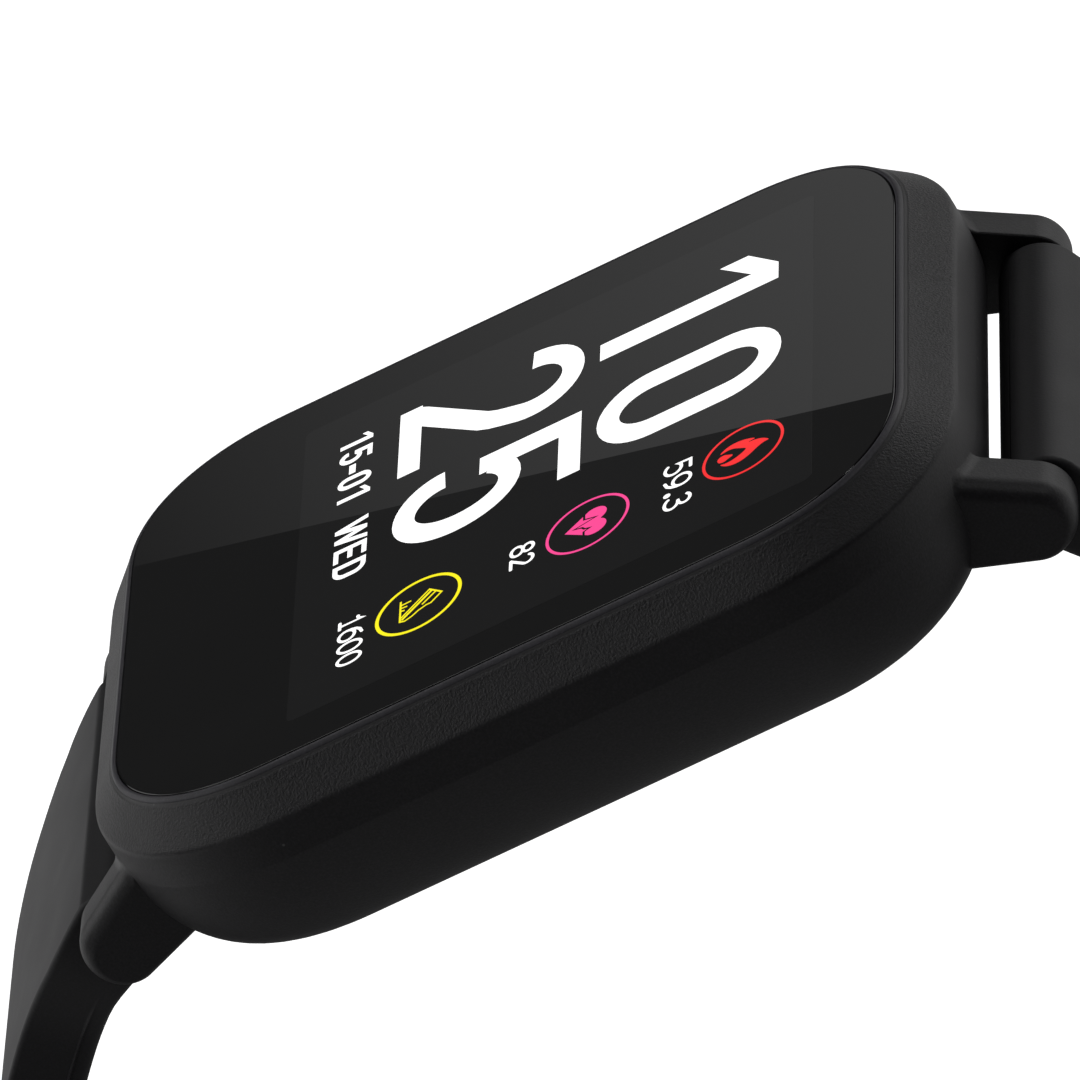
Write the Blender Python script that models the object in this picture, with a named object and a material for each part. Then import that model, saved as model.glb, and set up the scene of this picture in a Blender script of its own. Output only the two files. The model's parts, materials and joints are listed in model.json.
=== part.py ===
"""Square smartwatch on a two-piece silicone strap, built from its separate pieces.

Metres, +Z up. The origin is the middle of the flat sensor lens, which rests on the wrist.
+X points to 3 o'clock, +Y to 12 o'clock and +Z out of the display. The strap is open: the
short half with the buckle hangs from the 12 o'clock lugs and the long half with the holes
from the 6 o'clock lugs.
"""

import math

import bmesh
import bpy
from mathutils import Matrix, Vector

MM = 0.001

# Heights above the wrist, from the display down.
GLASS_TOP = 10.0 * MM
GLASS_UNDERSIDE = 9.0 * MM
GLASS_LEDGE = 8.65 * MM
WALL_TOP = GLASS_TOP - 1.75 * MM
WALL_BOTTOM = GLASS_TOP - 3.46 * MM
COVER_LEDGE = 2.65 * MM
CASE_BACK = 1.3 * MM

# Plan sizes of the case, as half widths, with the corner radius of the glass.
GLASS_HALF_X = 15.35 * MM
GLASS_HALF_Y = 18.4 * MM
GLASS_CORNER = 7.3 * MM
CORNER_POWER = 2.24
GLASS_GAP = 0.12 * MM
BEZEL_WIDTH = 2.0 * MM
CASE_HALF_X = GLASS_HALF_X + BEZEL_WIDTH
CASE_HALF_Y = GLASS_HALF_Y + BEZEL_WIDTH
CASE_CORNER = GLASS_CORNER + BEZEL_WIDTH + 0.5 * MM
BACK_INSET_X = 2.9 * MM
BACK_INSET_Y = 5.9 * MM
BACK_CORNER = 5.0 * MM
CORNER_STEPS = 10

# The rear cover and its fastening.
COVER_HALF_X = 13.2 * MM
COVER_HALF_Y = 13.6 * MM
COVER_CORNER = 5.0 * MM
COVER_TOP = 2.35 * MM
PLATFORM_RADIUS = 10.4 * MM
LENS_RADIUS = 5.75 * MM
SCREW_X = 10.4 * MM
SCREW_Y = 10.9 * MM
SCREW_RADIUS = 0.5 * MM

# Lugs and spring bars.
LUG_GAP = 20.0 * MM
LUG_WIDTH = 2.64 * MM
LUG_TIP_RADIUS = 1.78 * MM
LUG_TIP_Y = 21.55 * MM
LUG_TIP_Z = GLASS_TOP - 6.42 * MM
LUG_ROOT_Y = 17.8 * MM
LUG_TOP_SLOPE = math.radians(32)
LUG_UNDER_SLOPE = math.radians(20)
BAR_Y = 21.9 * MM
BAR_Z = GLASS_TOP - 6.85 * MM
BAR_RADIUS = 0.75 * MM
BAR_HALF = 8.2 * MM

# The strap. Headings are degrees below the horizontal at distances from the spring bar.
BARREL_RADIUS = 1.9 * MM
STRAP_LUG_WIDTH = 19.5 * MM
STRAP_WIDTH = 17.4 * MM
STRAP_TAPER_START = 1.5 * MM
STRAP_TAPER_END = 7.0 * MM
STRAP_RISE = 0.35 * MM
LONG_LENGTH = 116.0 * MM
LONG_HEADINGS = ((0.0, 35.0), (17.0 * MM, 60.5), (45.0 * MM, 85.0), (LONG_LENGTH, 96.0))
SHORT_LENGTH = 76.0 * MM
SHORT_HEADINGS = ((0.0, 66.0), (28.0 * MM, 90.0), (SHORT_LENGTH, 90.0))
THICKNESSES = ((0.0, 3.3 * MM), (12.0 * MM, 3.3 * MM), (40.0 * MM, 2.3 * MM))
HOLE_COUNT = 12
HOLE_PITCH = 6.0 * MM
HOLE_FROM_TIP = 15.0 * MM
HOLE_LENGTH = 3.4 * MM
HOLE_WIDTH = 2.2 * MM

# The buckle, its pin and the two keepers.
PIN_RADIUS = 0.6 * MM
PIN_BARREL_RADIUS = 1.5 * MM
BUCKLE_STRAP_HALF = 8.5 * MM
TONGUE_SLOT_HALF = 1.6 * MM
TONGUE_HALF = 1.1 * MM
BUCKLE_REACH = 10.4 * MM
BUCKLE_INNER_HALF = 8.8 * MM
BUCKLE_OUTER_HALF = 10.5 * MM
BUCKLE_THICKNESS = 2.0 * MM
KEEPER_INNER_HALF = 9.0 * MM
KEEPER_WALL = 1.2 * MM
KEEPER_LENGTH = 5.0 * MM
FIXED_KEEPER_UP = 9.5 * MM
SLIDING_KEEPER_UP = 19.0 * MM

PARTS = None
CUTTERS = None


# ---- scene and object helpers ----------------------------------------------------------


def clear_scene():
    for obj in list(bpy.data.objects):
        bpy.data.objects.remove(obj, do_unlink=True)


def new_collection(name):
    collection = bpy.data.collections.new(name)
    bpy.context.scene.collection.children.link(collection)
    return collection


def paint(obj, colour, roughness, metallic=0.0):
    """Gives obj a Principled material of its own."""
    material = bpy.data.materials.new(obj.name + "_finish")
    material.use_nodes = True
    shader = material.node_tree.nodes["Principled BSDF"]
    shader.inputs["Base Color"].default_value = (*colour, 1.0)
    shader.inputs["Roughness"].default_value = roughness
    shader.inputs["Metallic"].default_value = metallic
    obj.data.materials.append(material)
    return obj


def object_from(mesh_builder, name, collection=None):
    """A mesh object from a bmesh, which is freed."""
    bmesh.ops.recalc_face_normals(mesh_builder, faces=mesh_builder.faces)
    mesh = bpy.data.meshes.new(name)
    mesh_builder.to_mesh(mesh)
    mesh_builder.free()
    mesh.shade_smooth()
    mesh.set_sharp_from_angle(angle=math.radians(35))
    obj = bpy.data.objects.new(name, mesh)
    (collection or PARTS).objects.link(obj)
    return obj


def set_origin(obj, point):
    """Moves obj's origin to point and leaves its shape where it is."""
    obj.data.transform(Matrix.Translation(-Vector(point)))
    obj.location = point
    return obj


def as_cutter(obj):
    obj.hide_render = True
    obj.display_type = "WIRE"
    return obj


def combine(obj, other, operation):
    """Adds a Boolean of obj with the helper object other."""
    as_cutter(other)
    modifier = obj.modifiers.new(other.name, "BOOLEAN")
    modifier.operation = operation
    modifier.solver = "EXACT"
    modifier.object = other
    return obj


def cut(obj, other):
    return combine(obj, other, "DIFFERENCE")


def join(obj, other):
    return combine(obj, other, "UNION")


def loft(name, rings, collection=None):
    """A closed solid through rings of equally many points, capped at both ends."""
    builder = bmesh.new()
    rows = [[builder.verts.new(point) for point in ring] for ring in rings]
    for lower, upper in zip(rows, rows[1:]):
        for i in range(len(lower)):
            j = (i + 1) % len(lower)
            builder.faces.new((lower[i], lower[j], upper[j], upper[i]))
    builder.faces.new(rows[0])
    builder.faces.new(list(reversed(rows[-1])))
    return object_from(builder, name, collection)


def rounded_outline(half_x, half_y, corner, power=CORNER_POWER, steps=CORNER_STEPS):
    """(x, y) points round a rectangle whose corners are superellipse quarters."""
    points = []
    for quarter in range(4):
        sign_x = (1, -1, -1, 1)[quarter]
        sign_y = (1, 1, -1, -1)[quarter]
        for i in range(steps + 1):
            share = i / steps if quarter % 2 == 0 else 1 - i / steps
            angle = share * math.pi / 2
            across = math.cos(angle) ** (2 / power)
            along = math.sin(angle) ** (2 / power)
            x = half_x - corner + corner * across
            y = half_y - corner + corner * along
            points.append((sign_x * x, sign_y * y))
    return points


def rounded_ring(half_x, half_y, corner, z, centre=(0.0, 0.0), steps=CORNER_STEPS):
    return [
        Vector((centre[0] + x, centre[1] + y, z))
        for x, y in rounded_outline(half_x, half_y, corner, steps=steps)
    ]


def rounded_plate(name, half_x, half_y, corner, bottom, top, centre=(0.0, 0.0), collection=None):
    steps = 5
    lower = rounded_ring(half_x, half_y, corner, bottom, centre, steps)
    upper = rounded_ring(half_x, half_y, corner, top, centre, steps)
    return loft(name, (lower, upper), collection)


def box(name, low, high, collection=None):
    builder = bmesh.new()
    size = [b - a for a, b in zip(low, high)]
    middle = [(a + b) / 2 for a, b in zip(low, high)]
    matrix = Matrix.Translation(middle) @ Matrix.Diagonal((*size, 1.0))
    bmesh.ops.create_cube(builder, size=1.0, matrix=matrix)
    return object_from(builder, name, collection)


def rod(name, start, end, radius, sides=24, end_radius=None, collection=None):
    """A cylinder, or a cone where end_radius is given, from start to end."""
    builder = bmesh.new()
    start = Vector(start)
    end = Vector(end)
    turn = (end - start).to_track_quat("Z", "Y").to_matrix().to_4x4()
    bmesh.ops.create_cone(
        builder,
        cap_ends=True,
        segments=sides,
        radius1=radius,
        radius2=radius if end_radius is None else end_radius,
        depth=(end - start).length,
        matrix=Matrix.Translation((start + end) / 2) @ turn,
    )
    return object_from(builder, name, collection)


def prism_x(name, outline, low_x, high_x, collection=None):
    """An outline of (y, z) points extruded along X."""
    rings = [[Vector((x, y, z)) for y, z in outline] for x in (low_x, high_x)]
    return loft(name, rings, collection)


def wire(name, points, radius):
    """A round wire along points: a bevelled curve made into a mesh with its caps welded."""
    curve = bpy.data.curves.new(name, "CURVE")
    curve.dimensions = "3D"
    curve.bevel_depth = radius
    curve.bevel_resolution = 1
    curve.use_fill_caps = True
    spline = curve.splines.new("POLY")
    spline.points.add(len(points) - 1)
    for target, point in zip(spline.points, points):
        target.co = (*point, 1.0)
    guide = bpy.data.objects.new(name + "_guide", curve)
    PARTS.objects.link(guide)
    graph = bpy.context.evaluated_depsgraph_get()
    mesh = bpy.data.meshes.new_from_object(guide.evaluated_get(graph))
    bpy.data.objects.remove(guide, do_unlink=True)
    builder = bmesh.new()
    builder.from_mesh(mesh)
    bmesh.ops.remove_doubles(builder, verts=builder.verts, dist=0.001 * MM)
    return object_from(builder, name)


# ---- case ------------------------------------------------------------------------------


def case_rings():
    """The case's outside, from the lip beside the glass down to the flat back."""
    lip = (
        (GLASS_GAP, 0.1 * MM),
        (0.42 * MM, 0.24 * MM),
        (1.9 * MM, 1.6 * MM),
        (BEZEL_WIDTH, 1.75 * MM),
    )
    rings = [
        rounded_ring(GLASS_HALF_X + d, GLASS_HALF_Y + d, GLASS_CORNER + d, GLASS_TOP - h)
        for d, h in lip
    ]
    for share in (0.0, 0.2, 0.4, 0.6, 0.75, 0.87, 0.96, 1.0):
        inset = 1 - math.sqrt(1 - share**2)
        height = WALL_BOTTOM + share * (CASE_BACK - WALL_BOTTOM)
        half_x = CASE_HALF_X - inset * BACK_INSET_X
        half_y = CASE_HALF_Y - inset * BACK_INSET_Y
        corner = CASE_CORNER + share**1.5 * (BACK_CORNER - CASE_CORNER)
        rings.append(rounded_ring(half_x, half_y, corner, height))
    return rings


def lug_profile(offset):
    """(y, z) outline of a 12 o'clock lug seen from the side, shrunk by offset."""
    radius = LUG_TIP_RADIUS - offset
    first = math.pi / 2 - LUG_TOP_SLOPE
    last = -math.pi / 2 - LUG_UNDER_SLOPE
    steps = 9
    points = []
    for i in range(steps + 1):
        angle = first + (last - first) * i / steps
        points.append((LUG_TIP_Y + radius * math.cos(angle), LUG_TIP_Z + radius * math.sin(angle)))
    top_y, top_z = points[0]
    under_y, under_z = points[-1]
    top_root = top_z + (top_y - LUG_ROOT_Y) * math.tan(LUG_TOP_SLOPE)
    under_root = under_z + (under_y - LUG_ROOT_Y) * math.tan(LUG_UNDER_SLOPE)
    return [(LUG_ROOT_Y, top_root)] + points + [(LUG_ROOT_Y, under_root)]


def build_lug(name, side_x, side_y):
    inner = LUG_GAP / 2
    outer = inner + LUG_WIDTH
    stations = (
        (inner, 0.12 * MM),
        (inner + 0.12 * MM, 0.0),
        (outer - 0.8 * MM, 0.0),
        (outer - 0.3 * MM, 0.18 * MM),
        (outer, 0.55 * MM),
    )
    rings = [
        [Vector((side_x * x, side_y * y, z)) for y, z in lug_profile(offset)]
        for x, offset in stations
    ]
    return loft(name, rings, CUTTERS)


def build_case_body():
    case = loft("case_body", case_rings())
    for side_x in (-1, 1):
        for side_y in (-1, 1):
            tag = f"{'left' if side_x < 0 else 'right'}_{'6' if side_y < 0 else '12'}"
            join(case, build_lug("lug_" + tag, side_x, side_y))
    cavities = (
        ("glass_seat", GLASS_HALF_X + GLASS_GAP, GLASS_HALF_Y + GLASS_GAP,
         GLASS_CORNER + GLASS_GAP, GLASS_LEDGE, GLASS_TOP + 1 * MM),
        ("display_well", 14.2 * MM, 17.2 * MM, 5.2 * MM, 3.4 * MM, GLASS_TOP),
        ("back_mouth", 12.0 * MM, 12.4 * MM, 8.5 * MM, 2.0 * MM, 5.0 * MM),
        ("cover_seat", COVER_HALF_X + 0.15 * MM, COVER_HALF_Y + 0.15 * MM,
         COVER_CORNER + 0.15 * MM, 0.5 * MM, COVER_LEDGE),
    )
    for name, half_x, half_y, corner, bottom, top in cavities:
        cut(case, rounded_plate(name, half_x, half_y, corner, bottom, top, collection=CUTTERS))
    for index, (x, y) in enumerate(screw_places()):
        join(case, rod(f"boss_{index}", (x, y, 3.0 * MM), (x, y, 4.6 * MM), 1.4 * MM, 16, collection=CUTTERS))
    for index, (x, y) in enumerate(screw_places()):
        hole = rod(
            f"boss_hole_{index}",
            (x, y, 2.0 * MM),
            (x, y, 4.3 * MM),
            SCREW_RADIUS + 0.06 * MM,
            16,
            collection=CUTTERS,
        )
        cut(case, hole)
    reach = LUG_GAP / 2 + 1.5 * MM
    for side_y in (-1, 1):
        for side_x in (-1, 1):
            hole = rod(
                f"bar_hole_{side_x}_{side_y}",
                (side_x * (LUG_GAP / 2 - 1 * MM), side_y * BAR_Y, BAR_Z),
                (side_x * reach, side_y * BAR_Y, BAR_Z),
                0.46 * MM,
                16,
                collection=CUTTERS,
            )
            cut(case, hole)
    return paint(case, (0.03, 0.03, 0.033), 0.55)


def screw_places():
    return [(x * SCREW_X, y * SCREW_Y) for y in (-1, 1) for x in (-1, 1)]


# ---- display stack ---------------------------------------------------------------------


def build_cover_glass():
    edge = 0.25 * MM
    rings = (
        rounded_ring(GLASS_HALF_X, GLASS_HALF_Y, GLASS_CORNER, GLASS_UNDERSIDE),
        rounded_ring(GLASS_HALF_X, GLASS_HALF_Y, GLASS_CORNER, GLASS_TOP - edge * 0.6),
        rounded_ring(GLASS_HALF_X - edge, GLASS_HALF_Y - edge, GLASS_CORNER - edge, GLASS_TOP),
    )
    return paint(loft("cover_glass", rings), (0.02, 0.02, 0.022), 0.05)


def frame_plate(name, outer, inner, corner, bottom, top, colour, roughness):
    """A flat ring between two rounded rectangles, given as half sizes."""
    plate = rounded_plate(name, outer[0], outer[1], corner, bottom, top)
    hole_corner = corner - (outer[0] - inner[0])
    hole = rounded_plate(
        name + "_hole", inner[0], inner[1], hole_corner, bottom - MM, top + MM, collection=CUTTERS
    )
    return paint(cut(plate, hole), colour, roughness)


def build_display_stack():
    frame_plate(
        "glass_adhesive",
        (15.2 * MM, 18.25 * MM),
        (14.3 * MM, 17.3 * MM),
        7.15 * MM,
        8.7 * MM,
        8.95 * MM,
        (0.05, 0.05, 0.05),
        0.8,
    )
    centre = (0.0, 0.65 * MM)
    touch = rounded_plate("touch_sensor", 13.3 * MM, 14.5 * MM, 2.5 * MM, 8.78 * MM, 8.96 * MM, centre)
    paint(touch, (0.10, 0.11, 0.12), 0.2)
    layers = (
        ("lcd_panel", 7.98 * MM, 8.74 * MM, (0.05, 0.06, 0.08), 0.15),
        ("backlight_unit", 7.2 * MM, 7.94 * MM, (0.75, 0.75, 0.72), 0.4),
    )
    for name, bottom, top, colour, roughness in layers:
        layer = rounded_plate(name, 13.1 * MM, 14.25 * MM, 0.8 * MM, bottom, top, centre)
        paint(layer, colour, roughness)


def strip(name, route, thickness, half_width, axis):
    """A flex cable: a flat strip along (run, z) points, wide along X or Y."""
    upper = []
    lower = []
    for i, (run, z) in enumerate(route):
        before = Vector(route[max(i - 1, 0)])
        after = Vector(route[min(i + 1, len(route) - 1)])
        along = (after - before).normalized()
        side = Vector((-along.y, along.x)) * thickness / 2
        upper.append((run + side.x, z + side.y))
        lower.append((run - side.x, z - side.y))
    outline = upper + lower[::-1]
    rings = []
    for across in (-half_width, half_width):
        if axis == "X":
            rings.append([Vector((across, run, z)) for run, z in outline])
        else:
            rings.append([Vector((run, across, z)) for run, z in outline])
    return loft(name, rings)


def build_flex_cables():
    """The display's tail folds under the panel, and the sensor's climbs beside the battery."""
    fold = [(-13.68 * MM, 8.4 * MM)]
    for i in range(7):
        angle = math.radians(90 + 30 * i)
        fold.append((-14.3 * MM + 0.9 * MM * math.cos(angle), 7.5 * MM + 0.9 * MM * math.sin(angle)))
    fold.append((-12.2 * MM, 6.55 * MM))
    paint(strip("display_flex", fold, 0.12 * MM, 4.0 * MM, "X"), (0.55, 0.30, 0.06), 0.4)
    climb = [
        (3.4 * MM, 2.2 * MM),
        (4.5 * MM, 2.22 * MM),
        (5.3 * MM, 2.52 * MM),
        (8.7 * MM, 2.56 * MM),
        (9.1 * MM, 2.9 * MM),
        (9.1 * MM, 5.2 * MM),
        (9.5 * MM, 5.6 * MM),
        (11.2 * MM, 5.62 * MM),
    ]
    paint(strip("sensor_flex", climb, 0.12 * MM, 1.6 * MM, "Y"), (0.55, 0.30, 0.06), 0.4)


# ---- electronics -----------------------------------------------------------------------


def build_electronics():
    frame_plate(
        "inner_frame",
        (14.0 * MM, 17.0 * MM),
        (12.7 * MM, 15.7 * MM),
        6.0 * MM,
        5.7 * MM,
        7.1 * MM,
        (0.12, 0.12, 0.13),
        0.6,
    )
    board = rounded_plate("main_board", 12.4 * MM, 15.4 * MM, 4.4 * MM, 5.75 * MM, 6.35 * MM)
    paint(board, (0.02, 0.12, 0.06), 0.45)
    chips = (
        ("processor_chip", (-3.5 * MM, 4.0 * MM), 3.0 * MM, 0.62 * MM),
        ("memory_chip", (5.0 * MM, 6.0 * MM), 2.0 * MM, 0.55 * MM),
        ("motion_sensor_chip", (5.5 * MM, -1.5 * MM), 1.2 * MM, 0.55 * MM),
    )
    for name, (x, y), half, height in chips:
        low = (x - half, y - half, 6.39 * MM)
        high = (x + half, y + half, 6.39 * MM + height)
        paint(box(name, low, high), (0.03, 0.03, 0.03), 0.35)
    battery = rounded_plate("battery", 8.5 * MM, 10.4 * MM, 1.2 * MM, 2.8 * MM, 5.3 * MM)
    paint(battery, (0.42, 0.43, 0.45), 0.35, 0.6)
    pad = rounded_plate("battery_pad", 7.0 * MM, 9.0 * MM, 0.6 * MM, 5.36 * MM, 5.68 * MM)
    paint(pad, (0.08, 0.08, 0.08), 0.9)
    motor = rod("vibration_motor", (0, -13.7 * MM, 3.7 * MM), (0, -13.7 * MM, 5.6 * MM), 3.0 * MM, 28)
    paint(motor, (0.62, 0.62, 0.64), 0.3, 1.0)
    for name, x, colour in (
        ("battery_lead_positive", 1.3 * MM, (0.5, 0.02, 0.02)),
        ("battery_lead_negative", -1.3 * MM, (0.02, 0.02, 0.02)),
    ):
        route = [(x, 10.65 * MM, 4.4 * MM), (x, 11.6 * MM, 4.4 * MM)]
        for i in range(1, 6):
            angle = math.radians(18 * i)
            y = 11.6 * MM + 0.8 * MM * math.sin(angle)
            z = 5.2 * MM - 0.8 * MM * math.cos(angle)
            route.append((x, y, z))
        route.append((x, 12.4 * MM, 5.6 * MM))
        paint(wire(name, route, 0.3 * MM), colour, 0.5)


# ---- back of the watch -----------------------------------------------------------------


def build_rear_cover():
    cover = rounded_plate(
        "rear_cover", COVER_HALF_X, COVER_HALF_Y, COVER_CORNER, CASE_BACK, COVER_TOP
    )
    platform = rod(
        "sensor_platform",
        (0, 0, 0.15 * MM),
        (0, 0, CASE_BACK + 0.4 * MM),
        PLATFORM_RADIUS - 1.6 * MM,
        48,
        end_radius=PLATFORM_RADIUS,
        collection=CUTTERS,
    )
    join(cover, platform)
    holes = (
        ("lens_seat", LENS_RADIUS + 0.06 * MM, -1.0 * MM, 0.76 * MM),
        ("lens_window", LENS_RADIUS - 0.7 * MM, 0.5 * MM, 1.8 * MM),
        ("sensor_pocket", LENS_RADIUS - 0.05 * MM, 1.45 * MM, 4.0 * MM),
    )
    for name, radius, bottom, top in holes:
        cut(cover, rod(name, (0, 0, bottom), (0, 0, top), radius, 40, collection=CUTTERS))
    for index, (x, y) in enumerate(screw_places()):
        low = (x, y, 0.5 * MM)
        cut(cover, rod(f"head_well_{index}", low, (x, y, 1.85 * MM), 1.12 * MM, 16, collection=CUTTERS))
        cut(cover, rod(f"shank_hole_{index}", low, (x, y, 4 * MM), 0.6 * MM, 16, collection=CUTTERS))
    for index, x in enumerate((-2.2 * MM, 2.2 * MM)):
        hole = rod(
            f"pin_hole_{index}", (x, -11.85 * MM, 0), (x, -11.85 * MM, 4 * MM), 0.76 * MM, 20,
            collection=CUTTERS,
        )
        cut(cover, hole)
    return paint(cover, (0.025, 0.025, 0.027), 0.35)


def build_back_pieces():
    frame_plate(
        "rear_gasket",
        (13.0 * MM, 13.4 * MM),
        (12.45 * MM, 12.85 * MM),
        4.8 * MM,
        2.39 * MM,
        2.61 * MM,
        (0.30, 0.05, 0.04),
        0.7,
    )
    lens = rod("sensor_lens", (0, 0, 0), (0, 0, 0.7 * MM), LENS_RADIUS, 40)
    paint(lens, (0.03, 0.03, 0.035), 0.05)
    sensor = box("optical_sensor", (-2.4 * MM, -1.4 * MM, 0.8 * MM), (2.4 * MM, 1.4 * MM, 1.5 * MM))
    paint(sensor, (0.1, 0.35, 0.15), 0.3)
    board = rod("sensor_board", (0, 0, 1.55 * MM), (0, 0, 2.1 * MM), 5.5 * MM, 36)
    paint(board, (0.02, 0.12, 0.06), 0.45)
    for name, x in (("charging_contact_negative", -2.2 * MM), ("charging_contact_positive", 2.2 * MM)):
        pin = rod(name, (x, -11.85 * MM, 1.2 * MM), (x, -11.85 * MM, 2.35 * MM), 0.7 * MM, 20)
        paint(pin, (0.83, 0.62, 0.25), 0.25, 1.0)


def build_screws():
    for index, (x, y) in enumerate(screw_places(), start=1):
        screw = rod(f"rear_screw_{index}", (x, y, 1.4 * MM), (x, y, 1.8 * MM), 1.0 * MM, 16)
        shank = rod(
            f"screw_shank_{index}", (x, y, 1.6 * MM), (x, y, 4.1 * MM), SCREW_RADIUS, 16,
            collection=CUTTERS,
        )
        slot = box(
            f"screw_slot_{index}",
            (x - 0.7 * MM, y - 0.12 * MM, 1.0 * MM),
            (x + 0.7 * MM, y + 0.12 * MM, 1.55 * MM),
            CUTTERS,
        )
        join(screw, shank)
        cut(screw, slot)
        paint(screw, (0.25, 0.25, 0.26), 0.3, 1.0)


# ---- spring bars -----------------------------------------------------------------------


def build_spring_bar(clock, side_y):
    y = side_y * BAR_Y
    tube = rod(f"spring_bar_{clock}", (-BAR_HALF, y, BAR_Z), (BAR_HALF, y, BAR_Z), BAR_RADIUS, 20)
    bore = rod(
        f"bar_bore_{clock}",
        (-BAR_HALF - MM, y, BAR_Z),
        (BAR_HALF + MM, y, BAR_Z),
        0.52 * MM,
        16,
        collection=CUTTERS,
    )
    paint(cut(tube, bore), (0.6, 0.6, 0.62), 0.3, 1.0)
    for label, side_x in (("left", -1), ("right", 1)):
        tip = rod(
            f"bar_tip_{clock}_{label}",
            (side_x * 9.5 * MM, y, BAR_Z),
            (side_x * 9.85 * MM, y, BAR_Z),
            0.66 * MM,
            16,
        )
        pivot = rod(
            f"tip_pivot_{clock}_{label}",
            (side_x * 9.6 * MM, y, BAR_Z),
            (side_x * 11.0 * MM, y, BAR_Z),
            0.38 * MM,
            12,
            collection=CUTTERS,
        )
        shank = rod(
            f"tip_shank_{clock}_{label}",
            (side_x * 6.6 * MM, y, BAR_Z),
            (side_x * 9.6 * MM, y, BAR_Z),
            0.42 * MM,
            12,
            collection=CUTTERS,
        )
        join(tip, pivot)
        join(tip, shank)
        set_origin(paint(tip, (0.6, 0.6, 0.62), 0.3, 1.0), (side_x * 9.5 * MM, y, BAR_Z))
    turns = 9
    steps = turns * 8
    coil = []
    for i in range(steps + 1):
        angle = 2 * math.pi * turns * i / steps
        x = -6.3 * MM + 12.6 * MM * i / steps
        coil.append((x, y + 0.3 * MM * math.cos(angle), BAR_Z + 0.3 * MM * math.sin(angle)))
    paint(wire(f"bar_spring_{clock}", coil, 0.1 * MM), (0.5, 0.5, 0.52), 0.35, 1.0)


# ---- strap -----------------------------------------------------------------------------


def read_table(table, distance):
    """The value at distance along a table of (distance, value), straight between entries."""
    for (start, first), (end, last) in zip(table, table[1:]):
        if distance <= end:
            return first + (last - first) * max(distance - start, 0) / (end - start)
    return table[-1][1]


def strap_path(headings, length, steps):
    """(distance, y, z, heading) along the middle of a strap on the 12 o'clock side."""
    heading = math.radians(headings[0][1])
    y = BAR_Y + STRAP_RISE * math.sin(heading)
    z = BAR_Z + STRAP_RISE * math.cos(heading)
    path = [(0.0, y, z, heading)]
    fine = 8
    stride = length / (steps * fine)
    for i in range(steps * fine):
        middle = math.radians(read_table(headings, (i + 0.5) * stride))
        y += stride * math.cos(middle)
        z -= stride * math.sin(middle)
        if (i + 1) % fine == 0:
            distance = (i + 1) * stride
            path.append((distance, y, z, math.radians(read_table(headings, distance))))
    return path


def strap_half_width(distance, length, rounded_tip):
    share = (distance - STRAP_TAPER_START) / (STRAP_TAPER_END - STRAP_TAPER_START)
    share = min(max(share, 0.0), 1.0)
    ease = share * share * (3 - 2 * share)
    half = (STRAP_LUG_WIDTH + (STRAP_WIDTH - STRAP_LUG_WIDTH) * ease) / 2
    tip = 9.0 * MM
    if rounded_tip and distance > length - tip:
        into = (distance - (length - tip)) / tip
        half *= math.sqrt(1 - 0.93 * into**2)
    return half


def strap_section(half_width, thickness):
    """(x, rise) points of a strap's cross-section, with small rounded edges."""
    edge = 0.45 * MM
    points = []
    for corner_x, corner_r, start in (
        (half_width - edge, thickness / 2 - edge, 0),
        (-half_width + edge, thickness / 2 - edge, 90),
        (-half_width + edge, -thickness / 2 + edge, 180),
        (half_width - edge, -thickness / 2 + edge, 270),
    ):
        for turn in (0, 45, 90):
            angle = math.radians(start + turn)
            points.append((corner_x + edge * math.cos(angle), corner_r + edge * math.sin(angle)))
    return points


def place_on_strap(station, x, rise, along=0.0):
    """World point at x across, rise above the middle and along past a path station."""
    _, y, z, heading = station
    return Vector((
        x,
        y + rise * math.sin(heading) + along * math.cos(heading),
        z + rise * math.cos(heading) - along * math.sin(heading),
    ))


def strap_solid(name, path, length, rounded_tip, side_y):
    rings = []
    for station in path:
        half = strap_half_width(station[0], length, rounded_tip)
        section = strap_section(half, read_table(THICKNESSES, station[0]))
        rings.append([place_on_strap(station, x, rise) for x, rise in section])
    for ring in rings:
        for point in ring:
            point.y *= side_y
    strap = loft(name, rings)
    half = STRAP_LUG_WIDTH / 2
    y = side_y * BAR_Y
    barrel = rod(
        name + "_barrel", (-half, y, BAR_Z), (half, y, BAR_Z), BARREL_RADIUS, 32,
        collection=CUTTERS,
    )
    bore = rod(
        name + "_bore", (-half - MM, y, BAR_Z), (half + MM, y, BAR_Z), 0.86 * MM, 20,
        collection=CUTTERS,
    )
    join(strap, barrel)
    return strap, bore


def station_at(path, distance):
    """The path's station at distance, straight between the two beside it."""
    for before, after in zip(path, path[1:]):
        if after[0] >= distance:
            share = (distance - before[0]) / (after[0] - before[0])
            return tuple(a + (b - a) * share for a, b in zip(before, after))
    return path[-1]


def slotted_outline(half_long, half_wide):
    """(along, across) points of a slot with round ends."""
    points = []
    for end, start in ((1, -90), (-1, 90)):
        for turn in range(0, 181, 30):
            angle = math.radians(start + turn)
            along = end * (half_long - half_wide) + half_wide * math.cos(angle)
            points.append((along, half_wide * math.sin(angle)))
    return points


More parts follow.
